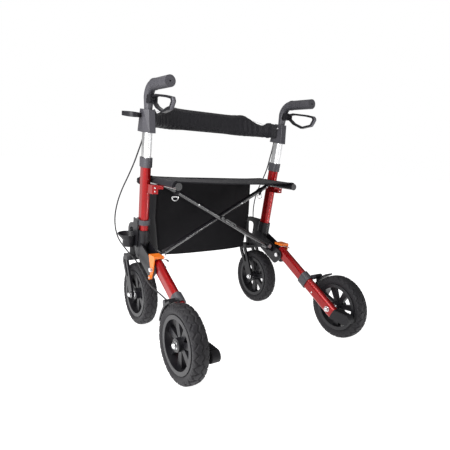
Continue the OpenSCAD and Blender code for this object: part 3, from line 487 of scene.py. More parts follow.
def rubbed_edges():
    """Mask of outside edges that handling has rubbed, broken up by noise."""
    tree, given, put = effect("rubbed edges", ("Mask",), Width=0.0012, Amount=0.5)
    rounded = node_of(tree, "ShaderNodeBevel", {"Radius": given["Width"]}, samples=3).outputs[0]
    true = tree.nodes.new("ShaderNodeNewGeometry").outputs["Normal"]
    turn = node_of(tree, "ShaderNodeVectorMath", {0: rounded, 1: true}, operation="DOT_PRODUCT")
    edge = ramp_of(tree, math_of(tree, "SUBTRACT", 1.0, turn.outputs["Value"]), low=0.02, high=0.22)
    broken = ramp_of(tree, noise_of(tree, given["Place"], scale=120.0, detail=5.0), low=0.42, high=0.66)
    put_in(tree, put, {"Mask": times(tree, times(tree, edge, broken), given["Amount"])})
    return tree


def plain_weave():
    """Over and under threads of a plain weave, with the pitch of one thread as a scale, and their painted
    shade.
    """
    tree, given, put = effect("plain weave", ("Height", "Shade"), Scale=260.0)
    pitch = {"Vector": given["Place"], "Scale": given["Scale"]}
    threads = {**pitch, "Distortion": 0.6, "Detail": 1.0}
    warp, weft = (
        node_of(tree, "ShaderNodeTexWave", threads, wave_type="BANDS", bands_direction=way).outputs["Fac"]
        for way in ("X", "Y")
    )
    check = node_of(tree, "ShaderNodeTexChecker", pitch).outputs["Fac"]
    # Painted shade: the gaps between the threads come out darker and the tops of the threads lighter; the
    # slubs are a random tone of the yarn
    over = math_of(tree, "MAXIMUM", warp, weft)
    slub = noise_of(tree, given["Place"], scale=300.0, detail=4.0)
    put_in(tree, put, {
        "Height": plus(tree, over, times(tree, check, 0.25)),
        "Shade": plus(tree, times(tree, over, 0.35), times(tree, slub, 0.65)),
    })
    return tree


def settled_dust():
    """Mask of faint dust on faces that look up."""
    tree, given, put = effect("settled dust", ("Mask",), Amount=0.2)
    up = ramp_of(tree, normal_z(tree), low=-0.2, high=1.0)
    cloud = ramp_of(tree, noise_of(tree, given["Place"], scale=35.0, detail=6.0), low=0.35, high=0.75)
    put_in(tree, put, {"Mask": times(tree, times(tree, up, cloud), given["Amount"])})
    return tree


EFFECTS = {}
FINISHES = {}
DUST, RUBBED_RED = (0.2, 0.19, 0.18, 1), (0.28, 0.2, 0.2, 1)


def use(tree, make, values):
    """Places a shared effect in a material."""
    if make.__name__ not in EFFECTS:
        EFFECTS[make.__name__] = make()
    return node_of(tree, "ShaderNodeGroup", values, node_tree=EFFECTS[make.__name__]).outputs


def rgba(shade, gain=1.0):
    return (shade[0] * gain, shade[1] * gain, shade[2] * gain, 1.0)


def tinted(shade, gain):
    return rgba(shade, gain)[:3]


def blank_finish(name):
    """A material, its tree, its Principled shader and the place on the object."""
    material = bpy.data.materials.new(name)
    material.use_nodes = True
    tree = material.node_tree
    place = tree.nodes.new("ShaderNodeTexCoord").outputs["Object"]
    return material, tree, tree.nodes["Principled BSDF"], place


def grained(tree, place, shade, **values):
    return use(tree, moulded_grain, {"Place": place, "Colour": rgba(shade), **values})


def moulded(name, shade, roughness, scale, strength=0.25, rub=0.3, dust=0.1, coat=0.0, shine=0.5, spread=0.2):
    """Moulded or coated finish: grain, rubbed edges and a little dust."""
    material, tree, shader, place = blank_finish(name)
    grain = grained(tree, place, shade, Scale=scale, Mottle=0.35, Roughness=roughness, Spread=spread)
    worn = use(tree, rubbed_edges, {"Place": place, "Amount": rub})["Mask"]
    dusty = use(tree, settled_dust, {"Place": place, "Amount": dust})["Mask"]
    base = mix_of(tree, worn, grain["Color"], rgba(shade, 3.0))
    put_in(tree, shader, {
        "Base Color": mix_of(tree, dusty, base, DUST),
        "Roughness": plus(tree, grain["Roughness"], times(tree, dusty, 0.4)),
        "Normal": bump_of(tree, grain["Height"], strength, distance=0.0004),
        "Specular IOR Level": shine, "Coat Weight": coat, "Coat Roughness": 0.12,
    })
    return material


def red_paint(shade):
    """Candy red: bright flakes under a clear coat."""
    material, tree, shader, place = blank_finish("red_paint")
    flakes = node_of(tree, "ShaderNodeTexVoronoi", {"Vector": place, "Scale": 1500.0}).outputs["Color"]
    glint = ramp_of(tree, node_of(tree, "ShaderNodeSeparateColor", {0: flakes}).outputs[0], low=0.3, high=1.0)
    grain = grained(tree, place, shade, Scale=260.0, Mottle=0.3, Roughness=0.34, Spread=0.12)
    worn = use(tree, rubbed_edges, {"Place": place, "Amount": 0.4})["Mask"]
    base = mix_of(tree, times(tree, glint, 0.3), grain["Color"], rgba(shade, 1.8))
    put_in(tree, shader, {
        "Base Color": mix_of(tree, worn, base, RUBBED_RED), "Roughness": grain["Roughness"],
        "Normal": bump_of(tree, grain["Height"], strength=0.05, distance=0.0003),
        "Metallic": 0.5, "Specular IOR Level": 0.2, "Coat Weight": 0.5, "Coat Roughness": 0.05,
    })
    return material


def drawn_metal(name, shade, roughness, stretch):
    """Drawn or turned metal with fine streaks along one way."""
    material, tree, shader, place = blank_finish(name)
    lines = node_of(tree, "ShaderNodeMapping", {"Vector": place, "Scale": stretch}).outputs[0]
    streaks = noise_of(tree, lines, scale=1.0, detail=5.0)
    grain = grained(tree, place, shade, Scale=500.0, Mottle=0.12, Roughness=roughness, Spread=0.03)
    put_in(tree, shader, {
        "Base Color": mix_of(tree, times(tree, streaks, 0.25), grain["Color"], rgba(shade, 0.6)),
        "Roughness": plus(tree, grain["Roughness"], times(tree, streaks, 0.02)), "Metallic": 1.0,
    })
    return material


def woven(name, shade, scale, roughness, sheen, lift, shine=0.14):
    """Black cloth: plain weave with painted shade between its threads, slubs, faint dust and a soft sheen."""
    material, tree, shader, place = blank_finish(name)
    quarter_turn = {"Vector": place, "Rotation": (math.pi / 2, 0, 0)}
    upright = node_of(tree, "ShaderNodeMapping", quarter_turn).outputs[0]
    side = use(tree, plain_weave, {"Place": upright, "Scale": scale})
    top = use(tree, plain_weave, {"Place": place, "Scale": scale})
    lies = ramp_of(tree, math_of(tree, "ABSOLUTE", normal_z(tree)), low=0.6, high=0.8)
    # Painted shade and highlight: the gaps between threads are darkened, and the lift lightens the upper
    # threads
    thread = mix_of(tree, lies, side["Shade"], top["Shade"])
    dusty = use(tree, settled_dust, {"Place": place, "Amount": 0.05})["Mask"]
    height = mix_of(tree, lies, side["Height"], top["Height"])
    put_in(tree, shader, {
        "Base Color": mix_of(tree, dusty, mix_of(tree, thread, rgba(shade, 0.55), rgba(shade, lift)), DUST),
        "Roughness": roughness, "Normal": bump_of(tree, height, strength=0.35, distance=0.0005),
        "Sheen Weight": sheen, "Sheen Roughness": 0.45, "Specular IOR Level": shine,
    })
    return material


def tyre_rubber(shade):
    """Matt rubber that is scuffed and dusty on the tread."""
    material, tree, shader, place = blank_finish("tyre")
    grain = grained(tree, place, shade, Scale=700.0, Mottle=0.5, Roughness=0.6, Spread=0.25)
    dusty = use(tree, settled_dust, {"Place": place, "Amount": 0.08})["Mask"]
    worn = use(tree, rubbed_edges, {"Place": place, "Width": 0.0016, "Amount": 0.5})["Mask"]
    put_in(tree, shader, {
        "Base Color": mix_of(tree, dusty, mix_of(tree, worn, grain["Color"], rgba(shade, 2.2)), DUST),
        "Roughness": grain["Roughness"], "Specular IOR Level": 0.3,
        "Normal": bump_of(tree, grain["Height"], strength=0.3, distance=0.0006),
    })
    return material


def finish(name):
    """The material of that name, made when first asked for."""
    if name in FINISHES:
        return FINISHES[name]
    c = bpy.context.scene.rollator_finish
    # After its shade: a metal's roughness and streaks, a moulding's roughness and scale of grain, or a cloth's
    # threads, roughness, sheen and lift, a painted highlight that lightens its upper threads
    makers = {
        "red_paint": lambda: red_paint(c.red),
        "silver_tube": lambda: drawn_metal(name, c.silver, 0.28, (900, 900, 8)),
        "steel": lambda: drawn_metal(name, tinted(c.silver, 0.85), 0.32, (500, 500, 500)),
        "grey_plastic": lambda: moulded(name, c.grey, 0.42, 1100.0),
        "bar_plastic": lambda: moulded(name, c.grey, 0.46, 1000.0),
        "grip_rubber": lambda: moulded(name, tinted(c.grey, 0.9), 0.56, 800.0, strength=0.4),
        "lever_pad": lambda: moulded(name, tinted(c.grey, 1.5), 0.6, 420.0, strength=0.8),
        "black_plastic": lambda: moulded(name, c.black, 0.36, 1000.0, dust=0.03, shine=0.3),
        "black_metal": lambda: moulded(
            name, c.black, 0.22, 1400.0, strength=0.02, rub=0.05, dust=0.0, coat=0.9, spread=0.04),
        "black_rubber": lambda: moulded(name, c.black, 0.62, 800.0, strength=0.4, dust=0.03, shine=0.3),
        "orange_plastic": lambda: moulded(name, c.orange, 0.34, 700.0, strength=0.1, rub=0.1, dust=0.03),
        "rim_plastic": lambda: moulded(name, tinted(c.black, 1.2), 0.36, 1200.0, dust=0.03, shine=0.35),
        "cable": lambda: moulded(name, c.black, 0.4, 1500.0, rub=0.1),
        "tyre": lambda: tyre_rubber(c.tyre),
        "seat_fabric": lambda: woven(name, tinted(c.cloth, 1.4), 210.0, 0.7, 0.05, 2.0),
        "backrest_fabric": lambda: woven(name, c.cloth, 260.0, 0.6, 0.12, 1.9, shine=0.22),
        "bag_fabric": lambda: woven(name, tinted(c.cloth, 0.6), 300.0, 0.6, 0.04, 1.7),
        "webbing": lambda: woven(name, c.cloth, 330.0, 0.7, 0.08, 1.9),
        "thread": lambda: woven(name, tinted(c.cloth, 1.8), 900.0, 0.7, 0.1, 1.5),
    }
    FINISHES[name] = makers[name]()
    return FINISHES[name]


# Pieces of the frame by their finish, without left and right
FINISH_NODES = {
    "red_paint": "upright leg",
    "silver_tube": "handle_tube",
    "steel": "bracket_bolts rear_axle front_axle",
    "grey_plastic": "collar handle_block leg_collar cane_band",
    "bar_plastic": "handle_bar",
    "grip_rubber": "grip",
    "black_plastic": "height_knob lever_housing brake_lever bracket brake_shoe fork cane_cup cane_loop",
    "black_metal": "seat_rail brace_a brace_b cross_bolt",
    "black_rubber": "curb_pedal",
    "orange_plastic": "latch",
    "rim_plastic": "rear_rim front_rim",
    "tyre": "rear_tyre front_tyre",
    "cable": "brake_cable",
    "seat_fabric": "seat_sling",
    "backrest_fabric": "backrest",
    "bag_fabric": "bag",
}
NODE_FINISH = {node: name for name, nodes in FINISH_NODES.items() for node in nodes.split()}
# Points closer than a seam are one; shallower edges are shaded smooth, and sharper ones get a small round
SEAM, SMOOTH_BELOW = 0.00002, math.radians(38)
ROUND_WIDTH, ROUND_STEPS, ROUND_ABOVE = 0.0009, 2, math.radians(42)
SHARP_EDGES = (
    "handle_block", "latch", "bracket", "fork", "brake_lever", "lever_housing", "collar", "leg_collar",
    "rear_rim", "front_rim", "cane_cup", "cane_loop", "cane_band", "height_knob", "curb_pedal", "brake_shoe",
)


def smooth_by_angle():
    """Modifier group that joins a tessellated piece's seams and shades it smooth over its shallow edges."""
    tree = bpy.data.node_groups.new("smooth by angle", "GeometryNodeTree")
    for way in ("INPUT", "OUTPUT"):
        tree.interface.new_socket("Geometry", in_out=way, socket_type="NodeSocketGeometry")
    given, put = tree.nodes.new("NodeGroupInput"), tree.nodes.new("NodeGroupOutput")
    joined = node_of(tree, "GeometryNodeMergeByDistance", {"Geometry": given.outputs[0], "Distance": SEAM})
    angle = tree.nodes.new("GeometryNodeInputMeshEdgeAngle").outputs["Unsigned Angle"]
    shallow = node_of(tree, "FunctionNodeCompare", {0: angle, 1: SMOOTH_BELOW}, operation="LESS_THAN")
    edges = node_of(tree, "GeometryNodeSetShadeSmooth", {
        "Geometry": joined.outputs[0], "Shade Smooth": shallow.outputs[0]}, domain="EDGE")
    faces = node_of(tree, "GeometryNodeSetShadeSmooth", {"Geometry": edges.outputs[0], "Shade Smooth": True})
    tree.links.new(faces.outputs[0], put.inputs[0])
    return tree


def short_name(node):
    for side, _ in SIDES:
        if node.startswith(side + "_"):
            return node[len(side) + 1:]
    return node


# Operators


class ROLLATOR_OT_finishes(bpy.types.Operator):
    """Give every carried over CAD piece its finish and small rounded edges"""

    bl_idname = "rollator.finishes"
    bl_label = "Finish the frame pieces"

    def execute(self, context):
        smooth = smooth_by_angle()
        for name, piece in NODES.items():
            piece.data.materials.clear()
            piece.data.materials.append(finish(NODE_FINISH[short_name(name)]))
            if short_name(name) in SHARP_EDGES:
                weld = piece.modifiers.new("join seams", "WELD")
                weld.merge_threshold = SEAM
                bevel = piece.modifiers.new("rounded edges", "BEVEL")
                bevel.width, bevel.segments = ROUND_WIDTH, ROUND_STEPS
                bevel.limit_method, bevel.angle_limit = "ANGLE", ROUND_ABOVE
            piece.modifiers.new("smooth shading", "NODES").node_group = smooth
            piece.modifiers.new("flat faces", "WEIGHTED_NORMAL").keep_sharp = True
        return {"FINISHED"}


class ROLLATOR_OT_cables(bpy.types.Operator):
    """Run the two brake cables from the handle blocks to the brakes on the legs"""

    bl_idname = "rollator.cables"
    bl_label = "Brake cables"

    sides, steps = 12, 5
    # Radius and height of the ferrule at each end of a cable
    ferrule = ((0, -4), (3.4, -4), (3.8, -3.6), (3.8, -2.6), (4.4, -2.3), (4.4, -0.6), (4, 0), (0, 0))
    ferrule_sides, crisp_above = 20, 40
    # The top one is sunk into the handle block, so that it clears the collar when the handles are low
    top_sunk = 2.8

    def execute(self, context):
        section = round_section(CABLE_D / 2 * MM, self.sides)
        for side, sign in SIDES:
            handle, side_frame, leg = f"{side}_handle", f"{side}_frame", f"{side}_leg_assembly"
            route = [mm(*p) for p in CABLE_TOPS[side]] + [on_side(sign, mm(*p)) for p in CABLE_ENDS]
            parts = (("upper", route[:CABLE_SPLIT + 1], handle, side_frame, CABLE_BENDS[0]),
                     ("lower", route[CABLE_SPLIT:], side_frame, leg, CABLE_BENDS[1]))
            for label, points, first, second, (start, end) in parts:
                line = smooth_route(points, self.steps)
                piece = new_piece(f"{side}_cable_{label}", *sweep(line, section))
                piece.data.materials.append(finish("cable"))
                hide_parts(f"{side}_brake_cable")
                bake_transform(piece)
            ends = (("top", route[0], route[1], handle, self.top_sunk), ("end", route[-1], route[-2], leg, 0))
            for label, at, beside, body, sunk in ends:
                barrel = lathe([(r, h + sunk) for r, h in self.ferrule], self.ferrule_sides)
                piece = merged(f"{side}_cable_ferrule_{label}", [placed(barrel, aim(at, at - beside))])
                crisp(piece, self.crisp_above)
                dress(piece, body, "black_plastic")
        return {"FINISHED"}


class ROLLATOR_OT_tyres(bpy.types.Operator):
    """Cut the wavy tread into the four tyres"""

    bl_idname = "rollator.tyres"
    bl_label = "Treaded tyres"

    # Half of a tyre's section from its bead to the middle of its tread: radius and half width
    half_section = (
        (80.0, 17.6), (82.0, 18.0), (85.5, 18.8), (86.6, 19.8), (90.0, 21.4), (95.0, 23.4), (99.0, 24.0),
        (103.0, 23.8), (106.5, 22.7), (109.5, 20.7), (111.8, 18.0), (113.3, 14.5), (114.2, 10.0),
        (114.8, 5.0), (115.0, 0.0),
    )
    core = Vector((97, 0, 0))
    steps, slices = 3, 13
    # Tread across the tyre from its middle: how softly a groove ends, the swing of the middle zigzag, the
    # place and swing of the side grooves, and the two belts of short cuts, each with a wave's length there
    soft, zigzag = 0.0011, 0.0042
    side_groove, side_swing = 0.0195, 0.0068
    inner_belt, inner_wave = (0.008, 0.017), 0.027
    outer_belt, outer_wave = (0.0265, 0.0335), 0.014

    def execute(self, context):
        mesh = self.tyre_mesh(context.scene.rollator_tread)
        for side, _ in SIDES:
            for place in ("rear", "front"):
                node = f"{side}_{place}_tyre"
                low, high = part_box(node)
                piece = bpy.data.objects.new(f"{side}_{place}_treaded_tyre", mesh)
                context.scene.collection.objects.link(piece)
                piece.location = (low + high) / 2
                dress(piece, f"{side}_{place}_wheel", "tyre", node)
        return {"FINISHED"}

    def tyre_mesh(self, tread):
        outline = list(self.half_section) + [(r, -x) for r, x in reversed(self.half_section[:-1])]
        line = smooth_route([Vector((r, x, 0)) for r, x in outline], self.steps)
        runs = runs_of(line)
        middle = runs[len(line) // 2]
        count = tread.repeats * self.slices
        points = []
        for i, turn in enumerate(around(count)):
            for p, run in zip(line, runs):
                sunk = tread.depth / MM * self.groove(tread, i / self.slices, (run - middle) * MM)
                q = (p + (self.core - p).normalized() * sunk) * MM
                points.append((q.y, q.x * math.cos(turn), q.x * math.sin(turn)))
        mesh = bpy.data.meshes.new("treaded_tyre")
        mesh.from_pydata(points, [], tube_faces(count, len(line), joined=True))
        turn_faces_out(mesh)
        mesh.shade_smooth()
        return mesh

    def groove(self, tread, wave, run):
        """Depth share of the tread at a place round the tyre, in waves, and across it from its middle."""
        def cut(distance, width):
            return 1 - min(1, max(0, (abs(distance) - width) / self.soft))

        def swing(wave):
            return abs((wave % 1) * 2 - 1) * 2 - 1

        across, shifted = abs(run), wave + (0.25 if run > 0 else -0.25)
        depth = max(cut(run - self.zigzag * swing(wave), tread.groove * 0.8),
                    cut(across - (self.side_groove + self.side_swing * swing(shifted)), tread.groove))
        if self.inner_belt[0] < across < self.inner_belt[1]:
            depth = max(depth, 0.8 * cut((shifted % 1 - 0.5) * self.inner_wave, tread.groove * 0.6))
        if self.outer_belt[0] < across < self.outer_belt[1]:
            depth = max(depth, 0.35 * cut(((wave * 2) % 1 - 0.5) * self.outer_wave, tread.groove * 0.5))
        return depth


class ROLLATOR_OT_seat(bpy.types.Operator):
    """Hang the seat cloth over its two rails, with hems and stitches"""

    bl_idname = "rollator.seat"
    bl_label = "Seat"

    wrap, across, rows = 24, 56, 46
    wrap_from, wrap_by, rail_gap = math.radians(195), math.radians(105), 0.5
    # How much more the front and back edges sag, and the height of the ripples
    slack, ripple = 0.25, 1.2 * MM
    hem_in, hem_width, hem_thick, hem_lift = 5 * MM, 11 * MM, 4.2 * MM, 0.6 * MM
    stitch = (4.2, 2.2, 0.4)
    seams_in, seam_lift = (8.5 * MM, 20 * MM), 1.5 * MM
    rail_seam, rail_seam_lift, rail_seam_steps = (RAIL_X - 22) * MM, 1.4 * MM, 60

    def execute(self, context):
        cloth = context.scene.rollator_cloth
        low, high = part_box("seat_sling")
        self.back, self.front = low.y, high.y
        rows = [self.line(cloth, self.row_y(r, self.rows - 1)) for r in range(self.rows)]
        last = self.wrap + self.across
        # The loop round each rail and the panel between them are pieces of their own, each keeping its form
        spans = (
            ("seat", slice(self.wrap, last + 1), "seat"),
            ("left_seat_loop", slice(self.wrap + 1), "seat"),
            ("right_seat_loop", slice(last, None), "brace_a_arm"),
        )
        made = []
        for name, span, body in spans:
            points = [p for row in rows for p in row[span]]
            sheet = new_piece(f"{name}_cloth", points, grid_faces(self.rows, len(rows[0][span])))
            thicken(sheet, cloth.seat_thickness)
            dress(sheet, body, "seat_fabric", "seat_sling")
            hem = merged(f"{name}_hems", [
                sweep(self.line(cloth, y, self.hem_lift)[span], flat_section(self.hem_width, self.hem_thick))
                for y in (self.back + self.hem_in, self.front - self.hem_in)])
            dress(hem, body, "webbing")
            stitches = self.edge_stitches(cloth, span) + (self.rail_stitches(cloth) if name == "seat" else [])
            thread = merged(f"{name}_stitches", stitches)
            dress(thread, body, "thread")
            made += [sheet, hem, thread]
        for piece in made[:3]:
            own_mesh(piece)
        return {"FINISHED"}

    def row_y(self, row, rows):
        return self.back + (self.front - self.back) * row / rows

    def line(self, cloth, y, lift=0.0):
        """Section of the seat at one place from back to front, from rail to rail."""
        radius = (RAIL_R + self.rail_gap) * MM + cloth.seat_thickness / 2
        along = (y - self.back) / (self.front - self.back)
        sag = cloth.seat_sag * (1 + self.slack * (2 * along - 1) ** 2)
        bend = []
        for k in range(self.wrap):
            a = self.wrap_from - self.wrap_by * k / self.wrap
            bend.append(Vector((-RAIL_X * MM + (radius + lift) * math.cos(a), y,
                                RAIL_Z * MM + (radius + lift) * math.sin(a))))
        made = list(bend)
        for k in range(self.across + 1):
            s = -1 + 2 * k / self.across
            pull = (1 - abs(s) ** 3) * noise.noise(Vector((s * 3.1, along * 4.5, 0.7))) * self.ripple
            made.append(Vector((s * RAIL_X * MM, y, RAIL_Z * MM + radius + lift - sag * (1 - s * s) + pull)))
        return made + [Vector((-p.x, y, p.z)) for p in reversed(bend)]

    def edge_stitches(self, cloth, span):
        rows = []
        for inset in self.seams_in:
            for y in (self.back + inset, self.front - inset):
                rows += dashes(self.line(cloth, y, self.seam_lift)[span], self.stitch)
        return rows

    def rail_stitches(self, cloth):
        rows, steps = [], self.rail_seam_steps
        for sign in (-1, 1):
            seam = []
            for k in range(steps + 1):
                line = self.line(cloth, self.row_y(k, steps), self.rail_seam_lift)
                seam.append(min(line, key=lambda p: abs(p.x - sign * self.rail_seam)))
            rows += dashes(seam, self.stitch)
        return rows


class ROLLATOR_OT_backrest(bpy.types.Operator):
    """Swell the padded backrest between the handle blocks and press its wrinkles in"""

    bl_idname = "rollator.backrest"
    bl_label = "Backrest"

    low_z, height, thickness, fold_z = 716, 94, 22, 0.76
    end_y, bow, bow_power = 155.3, 110, 4
    # The pad starts smaller than the CAD form, so that it has room to swell
    inset, thinner, end_share, most_slant = 2, 5, 0.55, 1.7
    # Where the top edge drops toward its ends, and the small bump at each end
    drop, drop_from, drop_run = 0.34, 0.6, 0.28
    bump, bump_at, bump_run = 0.09, 0.94, 0.06
    steps, section, voxel = 120, 28, 0.0042
    round_across, round_up = 0.7, 0.45
    cover = {
        "quality": 5, "mass": 0.3, "tension_stiffness": 18, "compression_stiffness": 18,
        "bending_stiffness": 0.6, "use_pressure": True, "uniform_pressure_force": 4,
    }
    frames, held_end = 20, 0.02
    seams, seam_width, seam_depth = (0.1, 0.9), 0.035, 0.0009
    pleat, pleat_sway, narrow_at, narrow_run, plain_end = 0.019, 0.008, 0.75, 0.2, 0.06
    stitch, thread_end, thread_steps, ray_from = (4.4, 2.4, 0.4), 0.93, 160, 200

    def execute(self, context):
        cloth = context.scene.rollator_cloth
        self.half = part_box("backrest")[1].x
        points = []
        for i in range(self.steps + 1):
            points += self.ring(-1 + 2 * i / self.steps)
        pad = new_piece("backrest_pad", points, tube_faces(self.steps + 1, self.section))
        self.swell(context, pad, cloth.backrest_swell)
        self.wrinkle(pad, cloth.pleat_depth)
        soft = pad.modifiers.new("smooth cover", "SUBSURF")
        soft.levels = soft.render_levels = 1
        dress(pad, "left_handle", "backrest_fabric", "backrest")
        thread = merged("backrest_stitches", self.stitches(context, pad))
        dress(thread, "left_handle", "thread")
        for piece in (pad, thread):
            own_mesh(piece)
        return {"FINISHED"}

    def top(self, s):
        """Height of the top edge along the backrest, as a share of its middle's height."""
        def ease(t):
            t = max(0.0, min(1.0, t))
            return t * t * (3 - 2 * t)
        fallen = self.drop * ease((abs(s) - self.drop_from) / self.drop_run)
        return 1 - fallen + self.bump * (1 - ease(abs(abs(s) - self.bump_at) / self.bump_run))

    def line_y(self, s):
        return self.end_y + self.bow * (1 - s**self.bow_power)

    def ring(self, s):
        """Rounded section of the pad at one place along it."""
        slant = math.hypot(1, self.bow_power * self.bow * s ** (self.bow_power - 1) * MM / self.half)
        share = self.end_share + (1 - self.end_share) * (1 - s**self.bow_power)
        thick = (self.thickness * share - self.thinner) * min(slant, self.most_slant)
        tall = self.height * self.top(s) - 2 * self.inset
        x, y, z = s * (self.half / MM - self.inset), self.line_y(s), self.low_z + self.inset + tall / 2
        made = []
        for c, d in round_section(1, self.section):
            across = math.copysign(abs(c) ** self.round_across, c) * thick / 2
            made.append(mm(x, y + across, z + math.copysign(abs(d) ** self.round_up, d) * tall / 2))
        return made

    def swell(self, context, pad, limit):
        """Lets the cover swell under its padding, each point by no more than limit."""
        remesh = pad.modifiers.new("even mesh", "REMESH")
        remesh.mode, remesh.voxel_size = "VOXEL", self.voxel
        bake_modifiers(context, pad)
        start = [v.co.copy() for v in pad.data.vertices]
        cover = pad.modifiers.new("cover", "CLOTH")
        for key, setting in self.cover.items():
            setattr(cover.settings, key, setting)
        cover.settings.effector_weights.gravity = 0
        cover.point_cache.frame_start, cover.point_cache.frame_end = 1, self.frames
        for number in range(1, self.frames + 1):
            context.scene.frame_set(number)
        bake_modifiers(context, pad)
        context.scene.frame_set(1)
        for vertex, rest in zip(pad.data.vertices, start):
            move = vertex.co - rest
            room = limit * min(1, (self.half - abs(rest.x)) / self.held_end)
            if move.length > room:
                vertex.co = rest + move * (room / move.length)

    def wrinkle(self, pad, depth):
        """Upright wrinkles, deepest where the pad narrows, and a sewn line inside each long edge."""
        normals = [v.normal.copy() for v in pad.data.vertices]
        for vertex, normal in zip(pad.data.vertices, normals):
            s = vertex.co.x / self.half
            facing = math.hypot(normal.x, normal.y)
            height = (vertex.co.z / MM - self.low_z) / (self.height * self.top(s))
            sway = self.pleat_sway * noise.noise(Vector((s * 2, height * 1.5, 3.3)))
            turn = 2 * math.pi * (vertex.co.x + sway) / self.pleat
            fold = math.sin(turn + 2.2 * noise.noise(Vector((s * 4, height, 9.1))))
            strength = 0.5 + 0.9 * math.exp(-(((abs(s) - self.narrow_at) / self.narrow_run) ** 2))
            strength *= 0.6 + 0.5 * noise.noise(Vector((s * 5, height * 2, 1.4)))
            strength *= min(1, (1 - abs(s)) / self.plain_end)
            seam = sum(math.exp(-(((height - edge) / self.seam_width) ** 2)) for edge in self.seams)
            rise = depth * strength * fold * (1 - 0.6 * seam) - self.seam_depth * seam
            vertex.co += normal * facing * rise
        pad.data.update()

    def stitches(self, context, pad):
        """Thread along the two sewn lines, on the back and the front of the cover."""
        tree = BVHTree.FromObject(pad, context.evaluated_depsgraph_get())
        rows = []
        for edge in self.seams:
            for toward in (1, -1):
                line = []
                for k in range(self.thread_steps + 1):
                    s = -self.thread_end + 2 * self.thread_end * k / self.thread_steps
                    start = mm(s * self.half / MM, self.line_y(s) - toward * self.ray_from,
                               self.low_z + self.height * self.top(s) * edge)
                    hit = tree.ray_cast(start, Vector((0, toward, 0)))[0]
                    if hit:
                        line.append(hit)
                rows += dashes(line, self.stitch)
        return rows


